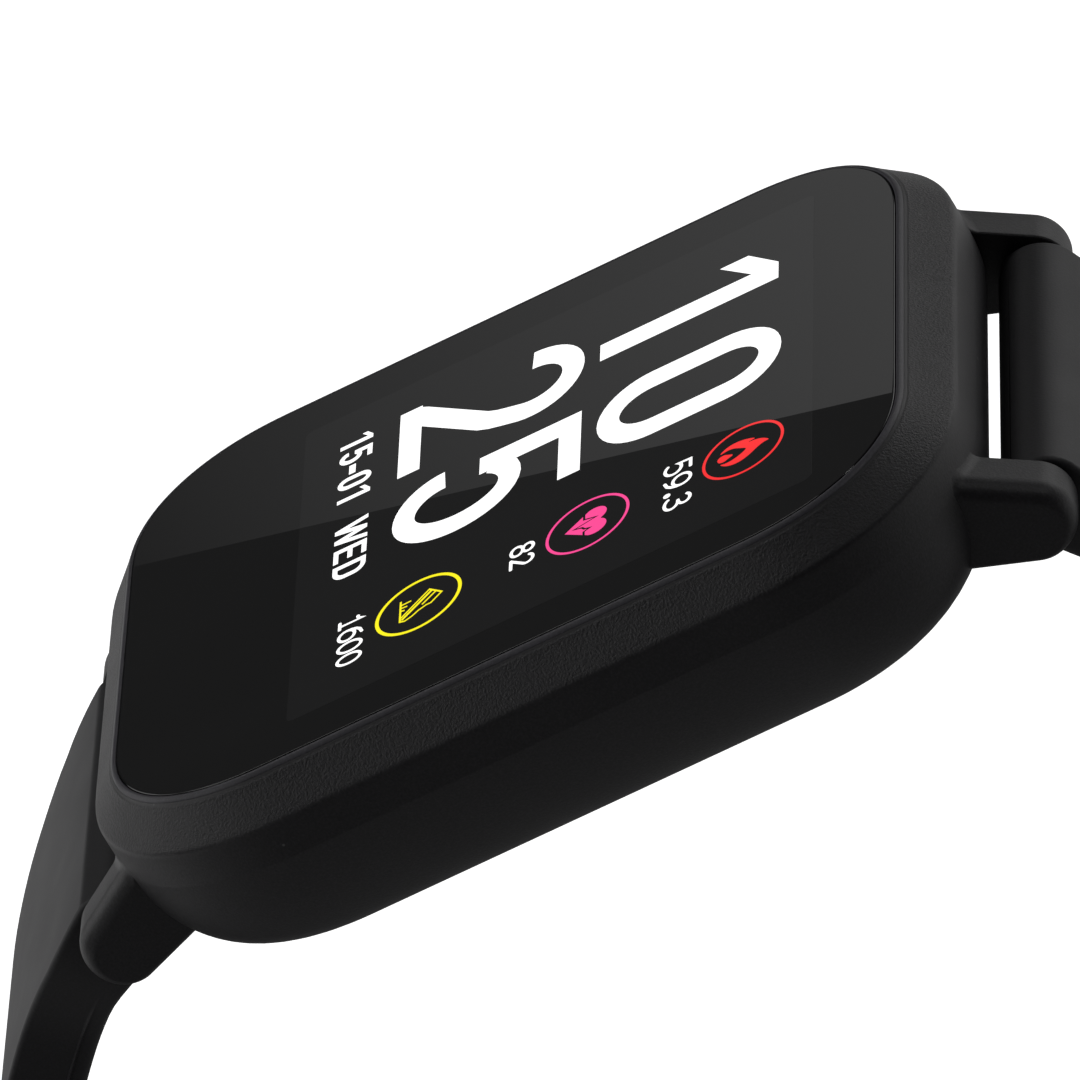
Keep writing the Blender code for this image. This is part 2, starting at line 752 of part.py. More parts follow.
def build_long_strap():
    path = strap_path(LONG_HEADINGS, LONG_LENGTH, 42)
    strap, bore = strap_solid("strap_long", path, LONG_LENGTH, True, -1)
    for index in range(HOLE_COUNT):
        station = station_at(path, LONG_LENGTH - HOLE_FROM_TIP - index * HOLE_PITCH)
        rings = []
        for rise in (-3 * MM, 3 * MM):
            ring = [
                place_on_strap(station, across, rise, along)
                for along, across in slotted_outline(HOLE_LENGTH / 2, HOLE_WIDTH / 2)
            ]
            for point in ring:
                point.y *= -1
            rings.append(ring)
        cut(strap, loft(f"strap_hole_{index + 1}", rings, CUTTERS))
    cut(strap, bore)
    set_origin(strap, (0, -BAR_Y, BAR_Z))
    return paint(strap, (0.025, 0.025, 0.027), 0.5)


def pin_station():
    return strap_path(SHORT_HEADINGS, SHORT_LENGTH, 30)[-1]


def build_short_strap():
    path = strap_path(SHORT_HEADINGS, SHORT_LENGTH, 30)
    strap, bore = strap_solid("strap_short", path, SHORT_LENGTH, False, 1)
    _, pin_y, pin_z, _ = pin_station()
    half = BUCKLE_STRAP_HALF
    eye = rod("buckle_eye", (-half, pin_y, pin_z), (half, pin_y, pin_z), PIN_BARREL_RADIUS, 24,
              collection=CUTTERS)
    join(strap, eye)
    trim = 2.5 * MM
    for side_x in (-1, 1):
        low_x, high_x = sorted((side_x * half, side_x * (half + 2 * MM)))
        side = box(f"side_trim_{side_x}", (low_x, pin_y - 5 * MM, pin_z - 5 * MM),
                   (high_x, pin_y + 5 * MM, pin_z + 3 * MM), CUTTERS)
        cut(strap, side)
    slot = box(
        "tongue_slot",
        (-TONGUE_SLOT_HALF, pin_y - 5 * MM, pin_z - 5 * MM),
        (TONGUE_SLOT_HALF, pin_y + 5 * MM, pin_z + trim),
        CUTTERS,
    )
    eye_bore = rod("eye_bore", (-2 * half, pin_y, pin_z), (2 * half, pin_y, pin_z),
                   PIN_RADIUS + 0.1 * MM, 20, collection=CUTTERS)
    cut(strap, slot)
    cut(strap, eye_bore)
    cut(strap, bore)
    set_origin(strap, (0, BAR_Y, BAR_Z))
    return paint(strap, (0.025, 0.025, 0.027), 0.5)


# ---- buckle and keepers ----------------------------------------------------------------


def build_buckle():
    _, y, z, _ = pin_station()
    outer = BUCKLE_OUTER_HALF
    inner = BUCKLE_INNER_HALF
    half = BUCKLE_THICKNESS / 2
    frame = rounded_slab("buckle_frame", y - half, y + half, z - BUCKLE_REACH, z + 1.5 * MM, outer)
    window = box("buckle_window", (-inner, y - 5 * MM, z - BUCKLE_REACH + 2.0 * MM),
                 (inner, y + 5 * MM, z + 5 * MM), CUTTERS)
    cut(frame, window)
    ear_bore = rod("ear_bore", (-2 * outer, y, z), (2 * outer, y, z), PIN_RADIUS + 0.06 * MM, 20,
                   collection=CUTTERS)
    cut(frame, ear_bore)
    set_origin(paint(frame, (0.05, 0.05, 0.055), 0.35, 1.0), (0, y, z))
    pin = rod("buckle_pin", (-outer + 0.1 * MM, y, z), (outer - 0.1 * MM, y, z), PIN_RADIUS, 20)
    paint(pin, (0.6, 0.6, 0.62), 0.3, 1.0)
    build_tongue(y, z)


def rounded_slab(name, low_y, high_y, low_z, high_z, half_x):
    """A slab standing in the XZ plane whose lower corners are rounded."""
    corner = 2.2 * MM
    outline = [(-half_x, high_z), (half_x, high_z)]
    for centre_x, start in ((half_x - corner, 0), (-half_x + corner, -90)):
        for turn in range(0, 91, 18):
            angle = math.radians(start - turn)
            outline.append((centre_x + corner * math.cos(angle), low_z + corner + corner * math.sin(angle)))
    rings = [[Vector((x, y, z)) for x, z in outline] for y in (low_y, high_y)]
    return loft(name, rings)


def build_tongue(y, z):
    """The tongue's eye turns on the pin and its point lies on the buckle's outer face."""
    width = TONGUE_HALF
    tongue = rod("buckle_tongue", (-width, y, z), (width, y, z), 1.25 * MM, 24)
    face = y + BUCKLE_THICKNESS / 2 + 0.08 * MM
    outline = (
        (y + 0.2 * MM, z + 0.4 * MM),
        (face + 0.15 * MM, z - 0.6 * MM),
        (face + 0.9 * MM, z - 3.0 * MM),
        (face + 1.0 * MM, z - 6.0 * MM),
        (face + 0.9 * MM, z - BUCKLE_REACH - 0.3 * MM),
        (face + 0.45 * MM, z - BUCKLE_REACH - 0.7 * MM),
        (face, z - BUCKLE_REACH - 0.3 * MM),
        (face, z - 6.0 * MM),
        (face - 0.3 * MM, z - 3.0 * MM),
        (y - 0.5 * MM, z - 0.95 * MM),
    )
    blade = prism_x("tongue_blade", outline, -width + 0.1 * MM, width - 0.1 * MM, CUTTERS)
    join(tongue, blade)
    cut(tongue, rod("tongue_bore", (-MM * 3, y, z), (MM * 3, y, z), PIN_RADIUS + 0.06 * MM, 20,
                    collection=CUTTERS))
    set_origin(paint(tongue, (0.55, 0.55, 0.57), 0.3, 1.0), (0, y, z))


def build_keeper(name, up):
    """A loop round the short strap, with room on the outer side for the long strap."""
    _, y, z, _ = pin_station()
    centre_z = z + up
    strap_half = THICKNESSES[-1][1] / 2
    low = strap_half + 0.2 * MM
    high = strap_half + 2.9 * MM
    half_x = KEEPER_INNER_HALF
    wall = KEEPER_WALL
    rings = []
    for level in (-KEEPER_LENGTH / 2, KEEPER_LENGTH / 2):
        outline = rounded_outline(half_x + wall, (low + high) / 2 + wall, 1.5 * MM, 2.0, 4)
        middle = y + (high - low) / 2
        rings.append([Vector((x, middle + side, centre_z + level)) for x, side in outline])
    keeper = loft(name, rings)
    hole = box(name + "_hole", (-half_x, y - low, centre_z - 6 * MM),
               (half_x, y + high, centre_z + 6 * MM), CUTTERS)
    cut(keeper, hole)
    set_origin(keeper, (0, y, centre_z))
    return paint(keeper, (0.025, 0.025, 0.027), 0.5)


def main():
    global PARTS, CUTTERS
    clear_scene()
    PARTS = new_collection("fitness_tracker")
    CUTTERS = new_collection("cutters")
    build_case_body()
    build_cover_glass()
    build_display_stack()
    build_flex_cables()
    build_electronics()
    build_rear_cover()
    build_back_pieces()
    build_screws()
    build_spring_bar("12", 1)
    build_spring_bar("6", -1)
    build_long_strap()
    build_short_strap()
    build_buckle()
    build_keeper("fixed_keeper", FIXED_KEEPER_UP)
    build_keeper("sliding_keeper", SLIDING_KEEPER_UP)


main()
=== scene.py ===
"""Looks of a square fitness tracker on a silicone strap, built around its CAD frame.

Every mesh is made in millimetres, in the frame's own axes, and scaled to metres when it is
finished: +X points to 3 o'clock, +Y to 12 o'clock and +Z out of the display.
"""

import json
from math import cos, degrees, pi, radians, sin, sqrt, tan

import bmesh
import bpy
from mathutils import Matrix, Vector


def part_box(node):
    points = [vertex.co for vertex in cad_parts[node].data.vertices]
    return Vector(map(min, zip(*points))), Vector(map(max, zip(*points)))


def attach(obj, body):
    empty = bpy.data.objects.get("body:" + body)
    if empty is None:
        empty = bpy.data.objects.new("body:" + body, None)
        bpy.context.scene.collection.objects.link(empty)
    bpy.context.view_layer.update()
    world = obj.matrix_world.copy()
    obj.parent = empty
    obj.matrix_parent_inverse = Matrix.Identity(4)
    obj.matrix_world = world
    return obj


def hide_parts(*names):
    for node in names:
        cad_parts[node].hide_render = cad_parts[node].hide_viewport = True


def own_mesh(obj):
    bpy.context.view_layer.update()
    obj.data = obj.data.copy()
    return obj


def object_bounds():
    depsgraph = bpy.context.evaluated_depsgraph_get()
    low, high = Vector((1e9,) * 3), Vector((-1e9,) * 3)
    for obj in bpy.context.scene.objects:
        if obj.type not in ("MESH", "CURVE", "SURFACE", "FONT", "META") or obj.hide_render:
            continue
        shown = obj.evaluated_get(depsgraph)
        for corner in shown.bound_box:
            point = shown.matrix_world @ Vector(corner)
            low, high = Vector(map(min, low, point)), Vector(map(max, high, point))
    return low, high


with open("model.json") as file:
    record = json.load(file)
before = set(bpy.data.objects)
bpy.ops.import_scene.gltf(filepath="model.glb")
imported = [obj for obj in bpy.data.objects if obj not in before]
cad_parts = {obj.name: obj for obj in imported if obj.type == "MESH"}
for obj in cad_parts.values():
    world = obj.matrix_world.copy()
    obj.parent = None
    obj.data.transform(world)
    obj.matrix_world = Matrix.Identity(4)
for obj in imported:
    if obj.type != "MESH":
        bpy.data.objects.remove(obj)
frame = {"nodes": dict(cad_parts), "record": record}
cad_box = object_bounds()

MM = 0.001


def node_box(name):
    """A CAD node's lowest and highest corners, in millimetres."""
    low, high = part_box(name)
    return low / MM, high / MM


# ---- sizes read from the frame ----

GLASS_LOW, GLASS_HIGH = node_box("cover_glass")
CASE_LOW, CASE_HIGH = node_box("case_body")
COVER_LOW, COVER_HIGH = node_box("rear_cover")
LENS_HIGH = node_box("sensor_lens")[1]
BAR_LOW, BAR_HIGH = node_box("spring_bar_12")
PIN_LOW, PIN_HIGH = node_box("buckle_pin")

GLASS_TOP = GLASS_HIGH.z
GLASS_HALF_X = GLASS_HIGH.x
GLASS_HALF_Y = GLASS_HIGH.y
CASE_HALF_X = CASE_HIGH.x
CASE_HALF_Y = GLASS_HALF_Y + CASE_HALF_X - GLASS_HALF_X
CASE_BACK = CASE_LOW.z
BAR_Y = (BAR_LOW.y + BAR_HIGH.y) / 2
BAR_Z = (BAR_LOW.z + BAR_HIGH.z) / 2
PIN_Y = (PIN_LOW.y + PIN_HIGH.y) / 2
PIN_Z = (PIN_LOW.z + PIN_HIGH.z) / 2

# ---- sizes in millimetres that the frame's boxes don't give ----

CORNER_POWER = 2.24
GLASS_CORNER = 7.3
CASE_CORNER = 9.8
BACK_CORNER = 5.0
BACK_INSET_X = 2.9
BACK_INSET_Y = 5.9
WALL_TOP = GLASS_TOP - 1.75
WALL_BOTTOM = GLASS_TOP - 3.46
GLASS_GAP = 0.04
RIM_WIDTH = 0.36
GLASS_LEDGE = 8.65
WELL = (14.2, 17.2, 5.2)
WELL_FLOOR = 3.4
BACK_MOUTH = (12.0, 12.4, 4.5)
COVER_LEDGE = 2.65
COVER_CORNER = 5.0
SCREW_X = 10.4
SCREW_Y = 10.9
CONTACT_X = 2.2
CONTACT_Y = -11.85
BAR_BORE = 0.86
EYE_BORE = 0.7
PIN_BORE = 0.66
CREASE = 0.4
LUG_INNER = 10.0
LUG_OUTER = 12.64
LUG_TIP_RADIUS = 1.78
LUG_TIP_Y = 21.55
LUG_TIP_Z = GLASS_TOP - 6.42
LUG_ROOT_Y = 17.8
LUG_TOP_SLOPE = radians(32)
LUG_UNDER_SLOPE = radians(20)
LUG_FILLET = 0.8

BARREL_RADIUS = 1.9
STRAP_LUG_HALF = 9.75
STRAP_HALF = 8.7
STRAP_RISE = 0.35
LONG_LENGTH = 116.0
LONG_HEADINGS = ((0.0, 35.0), (17.0, 60.5), (45.0, 85.0), (LONG_LENGTH, 96.0))
SHORT_LENGTH = 76.0
SHORT_HEADINGS = ((0.0, 66.0), (28.0, 90.0), (SHORT_LENGTH, 90.0))
THICKNESSES = ((0.0, 3.3), (12.0, 3.3), (40.0, 2.3))
HOLE_COUNT = 12
HOLE_PITCH = 6.0
HOLE_FROM_TIP = 15.0
HOLE_HALF_LONG = 1.7
HOLE_HALF_WIDE = 1.1
TIP_LENGTH = 9.0
SEAM_STEP = 0.12
FLAT_LEAN = radians(5)
RIDGE_END = 3.2
ROUND_SHARE = 0.985
EYE_RADIUS = 1.5
EYE_HALF = 8.5
ARM_INNER = 8.8

LIT_HALF_X = 12.7
LIT_LOW = -10.1
LIT_HIGH = 14.55


# ---- mesh helpers ----


def object_of(name, builder):
    """An object holding the builder's mesh, faces pointing out."""
    bmesh.ops.recalc_face_normals(builder, faces=builder.faces)
    mesh = bpy.data.meshes.new(name)
    builder.to_mesh(mesh)
    builder.free()
    obj = bpy.data.objects.new(name, mesh)
    bpy.context.scene.collection.objects.link(obj)
    return obj


def loft(name, rows, ring=False):
    """Quads between rows of equally many points, with the two ends capped or joined."""
    builder = bmesh.new()
    made = [[builder.verts.new(point) for point in row] for row in rows]
    pairs = list(zip(made, made[1:]))
    if ring:
        pairs.append((made[-1], made[0]))
    else:
        builder.faces.new(made[0])
        builder.faces.new(list(reversed(made[-1])))
    for lower, upper in pairs:
        for i in range(len(lower)):
            j = (i + 1) % len(lower)
            builder.faces.new((lower[i], lower[j], upper[j], upper[i]))
    return object_of(name, builder)


def bake_modifiers(obj):
    """Turns obj's modifiers into its mesh."""
    graph = bpy.context.evaluated_depsgraph_get()
    mesh = bpy.data.meshes.new_from_object(obj.evaluated_get(graph))
    obj.modifiers.clear()
    old = obj.data
    obj.data = mesh
    bpy.data.meshes.remove(old)


def carve(obj, other, operation="DIFFERENCE"):
    """Cuts other from obj, or joins it on, and removes other."""
    modifier = obj.modifiers.new(operation, "BOOLEAN")
    modifier.operation = operation
    modifier.solver = "EXACT"
    modifier.object = other
    bake_modifiers(obj)
    bpy.data.objects.remove(other, do_unlink=True)


def join(obj, other):
    carve(obj, other, "UNION")


def gather(name, objects):
    """One object from several that don't touch each other."""
    builder = bmesh.new()
    for obj in objects:
        builder.from_mesh(obj.data)
        bpy.data.objects.remove(obj, do_unlink=True)
    return object_of(name, builder)


def between(first, last, share):
    """The place a share of the way from first to last."""
    return tuple(a + (b - a) * share for a, b in zip(first, last))


def ease(share):
    """0 to 1 with a gentle start and end."""
    share = min(max(share, 0.0), 1.0)
    return share * share * (3 - 2 * share)


def arc(centre, radius, first, last, steps):
    """Points round centre from first to last, in degrees. radius is one number or (a, b)."""
    radius_a, radius_b = radius if isinstance(radius, tuple) else (radius, radius)
    points = []
    for i in range(steps + 1):
        angle = radians(first + (last - first) * i / steps)
        points.append((centre[0] + radius_a * cos(angle), centre[1] + radius_b * sin(angle)))
    return points


def rounded_ring(half_a, half_b, edge):
    """Points round a rectangle whose corners have a radius of edge."""
    ring = []
    for side_a, side_b, first in ((1, 1, 0), (-1, 1, 90), (-1, -1, 180), (1, -1, 270)):
        centre = (side_a * (half_a - edge), side_b * (half_b - edge))
        ring += arc(centre, edge, first, first + 90, 5)
    return ring


def rounded_outline(half_x, half_y, corner, power=CORNER_POWER, corner_steps=26, side_steps=24):
    """(x, y) points round a rectangle whose corners are superellipse quarters."""
    quarters = []
    for sign_x, sign_y in ((1, 1), (-1, 1), (-1, -1), (1, -1)):
        points = []
        for i in range(corner_steps + 1):
            share = i / corner_steps if sign_x == sign_y else 1 - i / corner_steps
            angle = share * pi / 2
            x = half_x - corner + corner * cos(angle) ** (2 / power)
            y = half_y - corner + corner * sin(angle) ** (2 / power)
            points.append((sign_x * x, sign_y * y))
        quarters.append(points)
    outline = []
    for points, following in zip(quarters, quarters[1:] + quarters[:1]):
        start = Vector(points[-1])
        end = Vector(following[0])
        outline += points
        outline += [tuple(start.lerp(end, i / side_steps)) for i in range(1, side_steps)]
    return outline


def plan_row(half_x, half_y, corner, z, **steps):
    return [(x, y, z) for x, y in rounded_outline(half_x, half_y, corner, **steps)]


def circle_row(outline, radius, z):
    """Points on a circle, each in the direction of the outline's own point."""
    return [(*(Vector(point).normalized() * radius), z) for point in outline]


def turned(name, profile, centre, axis="Z", sides=64):
    """A turned piece. The profile is (along, radius) points; it's a ring if none is on the axis."""
    solid = profile[0][1] == 0
    order = {"X": (0, 1, 2), "Z": (1, 2, 0)}[axis]
    builder = bmesh.new()
    made = []
    ends = {}
    for i in range(sides):
        angle = 2 * pi * i / sides
        row = []
        for index, (along, radius) in enumerate(profile):
            point = (along, radius * cos(angle), radius * sin(angle))
            place = Vector([point[k] for k in order]) + Vector(centre)
            vert = ends.get(index) or builder.verts.new(place)
            if solid and index in (0, len(profile) - 1):
                ends[index] = vert
            row.append(vert)
        made.append(row)
    count = len(profile)
    for row, following in zip(made, made[1:] + made[:1]):
        for i in range(count - 1 if solid else count):
            j = (i + 1) % count
            builder.faces.new(list(dict.fromkeys((row[i], row[j], following[j], following[i]))))
    return object_of(name, builder)


def prism(name, outline, low_z, high_z):
    return loft(name, [[(x, y, z) for x, y in outline] for z in (low_z, high_z)])


def rod(name, centre, low, high, radius, axis="Z"):
    """A plain cylinder along an axis, from low to high."""
    return turned(name, [(low, 0), (low, radius), (high, radius), (high, 0)], centre, axis, 40)


def bore(obj, y, z, radius, reach=12):
    """Cuts a round hole along X through obj."""
    carve(obj, rod("bore", (0, y, z), -reach, reach, radius, "X"))


def settle(obj, body, slot, stands_for=(), sharp=32, finish=None):
    """Shades a finished piece, scales it to metres, paints it and puts it on its body."""
    obj.data.shade_smooth()
    obj.data.set_sharp_from_angle(angle=radians(sharp))
    weighted = obj.modifiers.new("normals", "WEIGHTED_NORMAL")
    weighted.keep_sharp = True
    bake_modifiers(obj)
    obj.data.transform(Matrix.Scale(MM, 4))
    obj.data.materials.clear()
    obj.data.materials.append(finish or FINISHES[slot])
    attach(obj, body)
    if stands_for:
        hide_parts(*stands_for)


# ---- materials ----


class Nodes:
    """A material's node tree with short calls to add and link nodes."""

    def __init__(self, name):
        self.material = bpy.data.materials.new(name)
        self.material.use_nodes = True
        self.tree = self.material.node_tree
        self.shader = self.tree.nodes["Principled BSDF"]
        self.place = self.add("ShaderNodeTexCoord").outputs["Object"]

    def feed(self, name, value, node=None):
        """Gives an input of the shader, or of another node, a value or a node's output."""
        socket = (node or self.shader).inputs[name]
        if isinstance(value, bpy.types.NodeSocket):
            self.tree.links.new(value, socket)
        else:
            socket.default_value = value

    def add(self, kind, inputs=None, **values):
        node = self.tree.nodes.new(kind)
        for key, value in values.items():
            setattr(node, key, value)
        for name, value in (inputs or {}).items():
            self.feed(name, value, node)
        return node

    def scaled(self, size, stretch=(1, 1, 1)):
        """The object's own coordinates in units of size millimetres, stretched by axis."""
        scale = [1 / (size * MM * s) for s in stretch]
        return self.add("ShaderNodeMapping", {"Vector": self.place, "Scale": scale}).outputs["Vector"]

    def noise(self, size, detail=2.0, stretch=(1, 1, 1), rough=0.5):
        """Noise whose features are about size millimetres, stretched by axis."""
        return self.add("ShaderNodeTexNoise", {
            "Vector": self.scaled(size, stretch), "Scale": 1.0, "Detail": detail, "Roughness": rough,
        }).outputs["Fac"]

    def cells(self, size):
        """Distance to the nearest of scattered points about size millimetres apart."""
        inputs = {"Vector": self.scaled(size), "Scale": 1.0}
        return self.add("ShaderNodeTexVoronoi", inputs).outputs["Distance"]

    def along(self, axis):
        """The object's own coordinate along one axis, in metres."""
        return self.add("ShaderNodeSeparateXYZ", {"Vector": self.place}).outputs[axis]

    def span(self, source, low_in, high_in, low_out=0.0, high_out=1.0):
        """The source carried from one range to another and kept within it."""
        return self.add("ShaderNodeMapRange", {
            "Value": source,
            "From Min": low_in, "From Max": high_in, "To Min": low_out, "To Max": high_out,
        }).outputs["Result"]

    def maths(self, operation, first, second):
        return self.add("ShaderNodeMath", {0: first, 1: second}, operation=operation).outputs["Value"]

    def mix(self, share, first, second):
        """A colour between two, each a colour or a socket, by the share socket."""
        node = self.add("ShaderNodeMix", {"Factor": share}, data_type="RGBA")
        for index, value in ((6, first), (7, second)):
            self.feed(index, value if isinstance(value, bpy.types.NodeSocket) else (*value, 1.0), node)
        return node.outputs[2]

    def shades(self, source, colour, dark, light, high=0.7):
        """The colour, from dark to light times as bright as the source rises."""
        return self.mix(self.span(source, 0.3, high), tint(colour, dark), tint(colour, light))

    def bump(self, height, depth):
        """Bump with a height of depth millimetres."""
        node = self.add("ShaderNodeBump", {"Strength": 1.0, "Distance": depth * MM, "Height": height})
        self.feed("Normal", node.outputs["Normal"])


BLACK = (0.0090, 0.0082, 0.0100)
DUST = (0.12, 0.12, 0.12)
WHITE = (1, 1, 1, 1)


def tint(colour, factor):
    return tuple(channel * factor for channel in colour)


def moulded(name, colour, roughness, grain, depth, specular=0.5, specks=0.0, contrast=0.3, grainy=None):
    """Moulded plastic or rubber: fine grain, faint mottling and a little dust.

    grainy is a height range, in millimetres, outside which the grain fades.
    """
    nodes = Nodes(name)
    mottle = nodes.noise(3.5, 3.0)
    fine = nodes.noise(grain, rough=0.6)
    shade = nodes.shades(mottle, colour, 0.88, 1.14)
    shade = nodes.mix(nodes.span(fine, 0.5, 0.75, 0.0, contrast), shade, tint(colour, 2.2))
    shade = nodes.mix(nodes.span(fine, 0.5, 0.25, 0.0, contrast), shade, tint(colour, 0.3))
    if specks:
        shade = nodes.mix(nodes.span(nodes.cells(2.6), 0.035, 0.02, 0.0, specks), shade, DUST)
    nodes.feed("Base Color", shade)
    nodes.feed("Roughness", nodes.span(mottle, 0.3, 0.7, roughness - 0.02, roughness + 0.02))
    if grainy:
        low, high = grainy
        height = nodes.along("Z")
        above = nodes.span(height, (low - 0.1) * MM, (low + 0.1) * MM, 0.25, 1.0)
        below = nodes.span(height, (high - 0.03) * MM, (high + 0.03) * MM, 1.0, 0.12)
        fine = nodes.maths("MULTIPLY", nodes.maths("MULTIPLY", fine, above), below)
    nodes.bump(fine, depth)
    nodes.feed("Specular IOR Level", specular)
    return nodes.material


def polished(name, colour, roughness, glow=None, strength=0.0):
    """Glass, resin or lit picture: clean gloss with faint smears in its roughness."""
    nodes = Nodes(name)
    smear = nodes.noise(6.0, 3.0, stretch=(1, 2.2, 1))
    nodes.feed("Base Color", nodes.shades(smear, colour, 0.92, 1.08))
    nodes.feed("Roughness", nodes.span(smear, 0.35, 0.75, roughness, roughness * 1.3 + 0.006))
    if glow:
        nodes.feed("Emission Color", (*glow, 1.0))
        nodes.feed("Emission Strength", strength)
    return nodes.material


def metal(name, colour, roughness, stretch=(6, 0.6, 0.6)):
    """Metal with fine lengthwise brushing."""
    nodes = Nodes(name)
    brush = nodes.noise(0.08, 3.0, stretch=stretch)
    nodes.feed("Base Color", nodes.shades(nodes.noise(1.8, 3.0), colour, 0.9, 1.1, high=0.75))
    nodes.feed("Roughness", nodes.span(brush, 0.3, 0.7, roughness - 0.06, roughness + 0.08))
    nodes.bump(brush, 0.0015)
    nodes.feed("Metallic", 1.0)
    return nodes.material


def circuit(name, mask, copper, pitch):
    """A circuit board or flex: solder mask over a grid of tracks."""
    nodes = Nodes(name)
    track = nodes.cells(pitch)
    nodes.feed("Base Color", nodes.mix(nodes.span(track, 0.42, 0.46, 0.0, 0.6), mask, copper))
    nodes.feed("Roughness", nodes.span(track, 0.3, 0.6, 0.35, 0.5))
    nodes.bump(track, 0.01)
    return nodes.material


def foil(name, colour):
    """A battery's crinkled foil pouch."""
    nodes = Nodes(name)
    crease = nodes.noise(2.0, 4.0, rough=0.7)
    nodes.feed("Base Color", nodes.shades(crease, colour, 0.85, 1.15))
    nodes.feed("Roughness", nodes.span(crease, 0.3, 0.7, 0.25, 0.4))
    nodes.bump(crease, 0.08)
    nodes.feed("Metallic", 0.7)
    return nodes.material


def make_finishes():
    """The finish of each material slot in the record: its function's values after the name."""
    bezel = (WALL_TOP + 0.1, GLASS_TOP - 0.3)
    kinds = {
        moulded: {
            "case_plastic": (BLACK, 0.47, 0.11, 0.048, 0.45, 0.6, 0.8, bezel),
            "strap_silicone": (BLACK, 0.52, 0.11, 0.006, 0.40, 0.5, 0.5),
            "back_plastic": ((0.012, 0.012, 0.013), 0.30, 0.14, 0.002),
            "inner_plastic": ((0.12, 0.12, 0.13), 0.6, 0.2, 0.004),
            "backlight": ((0.75, 0.75, 0.72), 0.4, 0.3, 0.002),
            "adhesive": ((0.04, 0.04, 0.04), 0.9, 0.25, 0.02),
            "chip_plastic": ((0.03, 0.03, 0.03), 0.4, 0.1, 0.003),
            "seal": ((0.3, 0.05, 0.04), 0.65, 0.2, 0.003),
            "lead_red": ((0.5, 0.02, 0.02), 0.45, 0.2, 0.002),
            "lead_black": ((0.02, 0.02, 0.02), 0.45, 0.2, 0.002),
        },
        polished: {
            "cover_glass": ((0.0085, 0.0085, 0.0088), 0.0),
            "display_stack": ((0.06, 0.065, 0.08), 0.12),
            "sensor_window": ((0.006, 0.006, 0.007), 0.03),
            "sensor_package": ((0.10, 0.35, 0.15), 0.1),
        },
        metal: {
            "steel": ((0.60, 0.60, 0.62), 0.28),
            "black_steel": ((0.045, 0.045, 0.050), 0.34, (0.6, 0.6, 6)),
            "gold_contact": ((0.83, 0.62, 0.25), 0.22, (1, 1, 1)),
        },
        circuit: {
            "circuit_board": ((0.02, 0.12, 0.06), (0.10, 0.28, 0.12), 0.9),
            "flex_cable": ((0.55, 0.30, 0.06), (0.75, 0.42, 0.12), 0.5),
        },
        foil: {"battery_pouch": ((0.42, 0.43, 0.45),)},
    }
    finishes = {}
    for make, slots in kinds.items():
        finishes.update((slot, make(slot, *looks)) for slot, looks in slots.items())
    return finishes


FINISHES = make_finishes()


def paint_frame():
    """Gives every CAD node the finish of its slot."""
    slots = {part["node"]: part["material_slot"] for part in frame["record"]["subparts"]}
    for name, node in frame["nodes"].items():
        node.data.materials.clear()
        node.data.materials.append(FINISHES[slots[name]])


# ---- case ----


def case_rows():
    """Rows over the whole case: out from the back, over the bezel and down the inside."""
    rows = []
    steps = 20
    for i in range(steps + 1):
        share = sin(pi / 2 * (1 - i / steps))
        inset_x = CREASE * share + (1 - CREASE) * (1 - sqrt(max(1 - share**2.4, 0.0)))
        inset_y = 1 - sqrt(max(1 - share**2, 0.0))
        rows.append((
            CASE_HALF_X - inset_x * BACK_INSET_X,
            CASE_HALF_Y - inset_y * BACK_INSET_Y,
            CASE_CORNER + share**1.5 * (BACK_CORNER - CASE_CORNER),
            WALL_BOTTOM + share * (CASE_BACK - WALL_BOTTOM),
        ))
    bezel = (
        (2.0, 3.41), (2.0, 3.3), (2.0, 2.6), (2.0, 1.95), (1.995, 1.82), (1.975, 1.74), (1.94, 1.67),
        (1.88, 1.60), (1.55, 1.295), (1.2, 0.975), (0.85, 0.65), (0.66, 0.475), (0.58, 0.39),
        (0.50, 0.31), (0.44, 0.25), (RIM_WIDTH, 0.19), (RIM_WIDTH, 0.62), (GLASS_GAP, 0.64),
        (GLASS_GAP, GLASS_TOP - GLASS_LEDGE),
    )
    rows += [glass_row(*place) for place in bezel]
    seat = 0.15
    rows += [
        (*WELL, GLASS_LEDGE),
        (*WELL, 7.0),
        (*WELL, 5.0),
        (*WELL, WELL_FLOOR),
        (*BACK_MOUTH, WELL_FLOOR),
        (*BACK_MOUTH, COVER_LEDGE),
        (COVER_HIGH.x + seat, COVER_HIGH.y + seat, COVER_CORNER + seat, COVER_LEDGE),
        (COVER_HIGH.x + seat, COVER_HIGH.y + seat, COVER_CORNER + seat, CASE_BACK + 0.12),
        (COVER_HIGH.x + seat + 0.12, COVER_HIGH.y + seat + 0.12, COVER_CORNER + seat, CASE_BACK),
    ]
    return [plan_row(*row) for row in rows]


def wall_y(x):
    """How far out the case's end wall stands at x."""
    into = max(x - (CASE_HALF_X - CASE_CORNER), 0.0) / CASE_CORNER
    return CASE_HALF_Y - CASE_CORNER + CASE_CORNER * (1 - into**CORNER_POWER) ** (1 / CORNER_POWER)


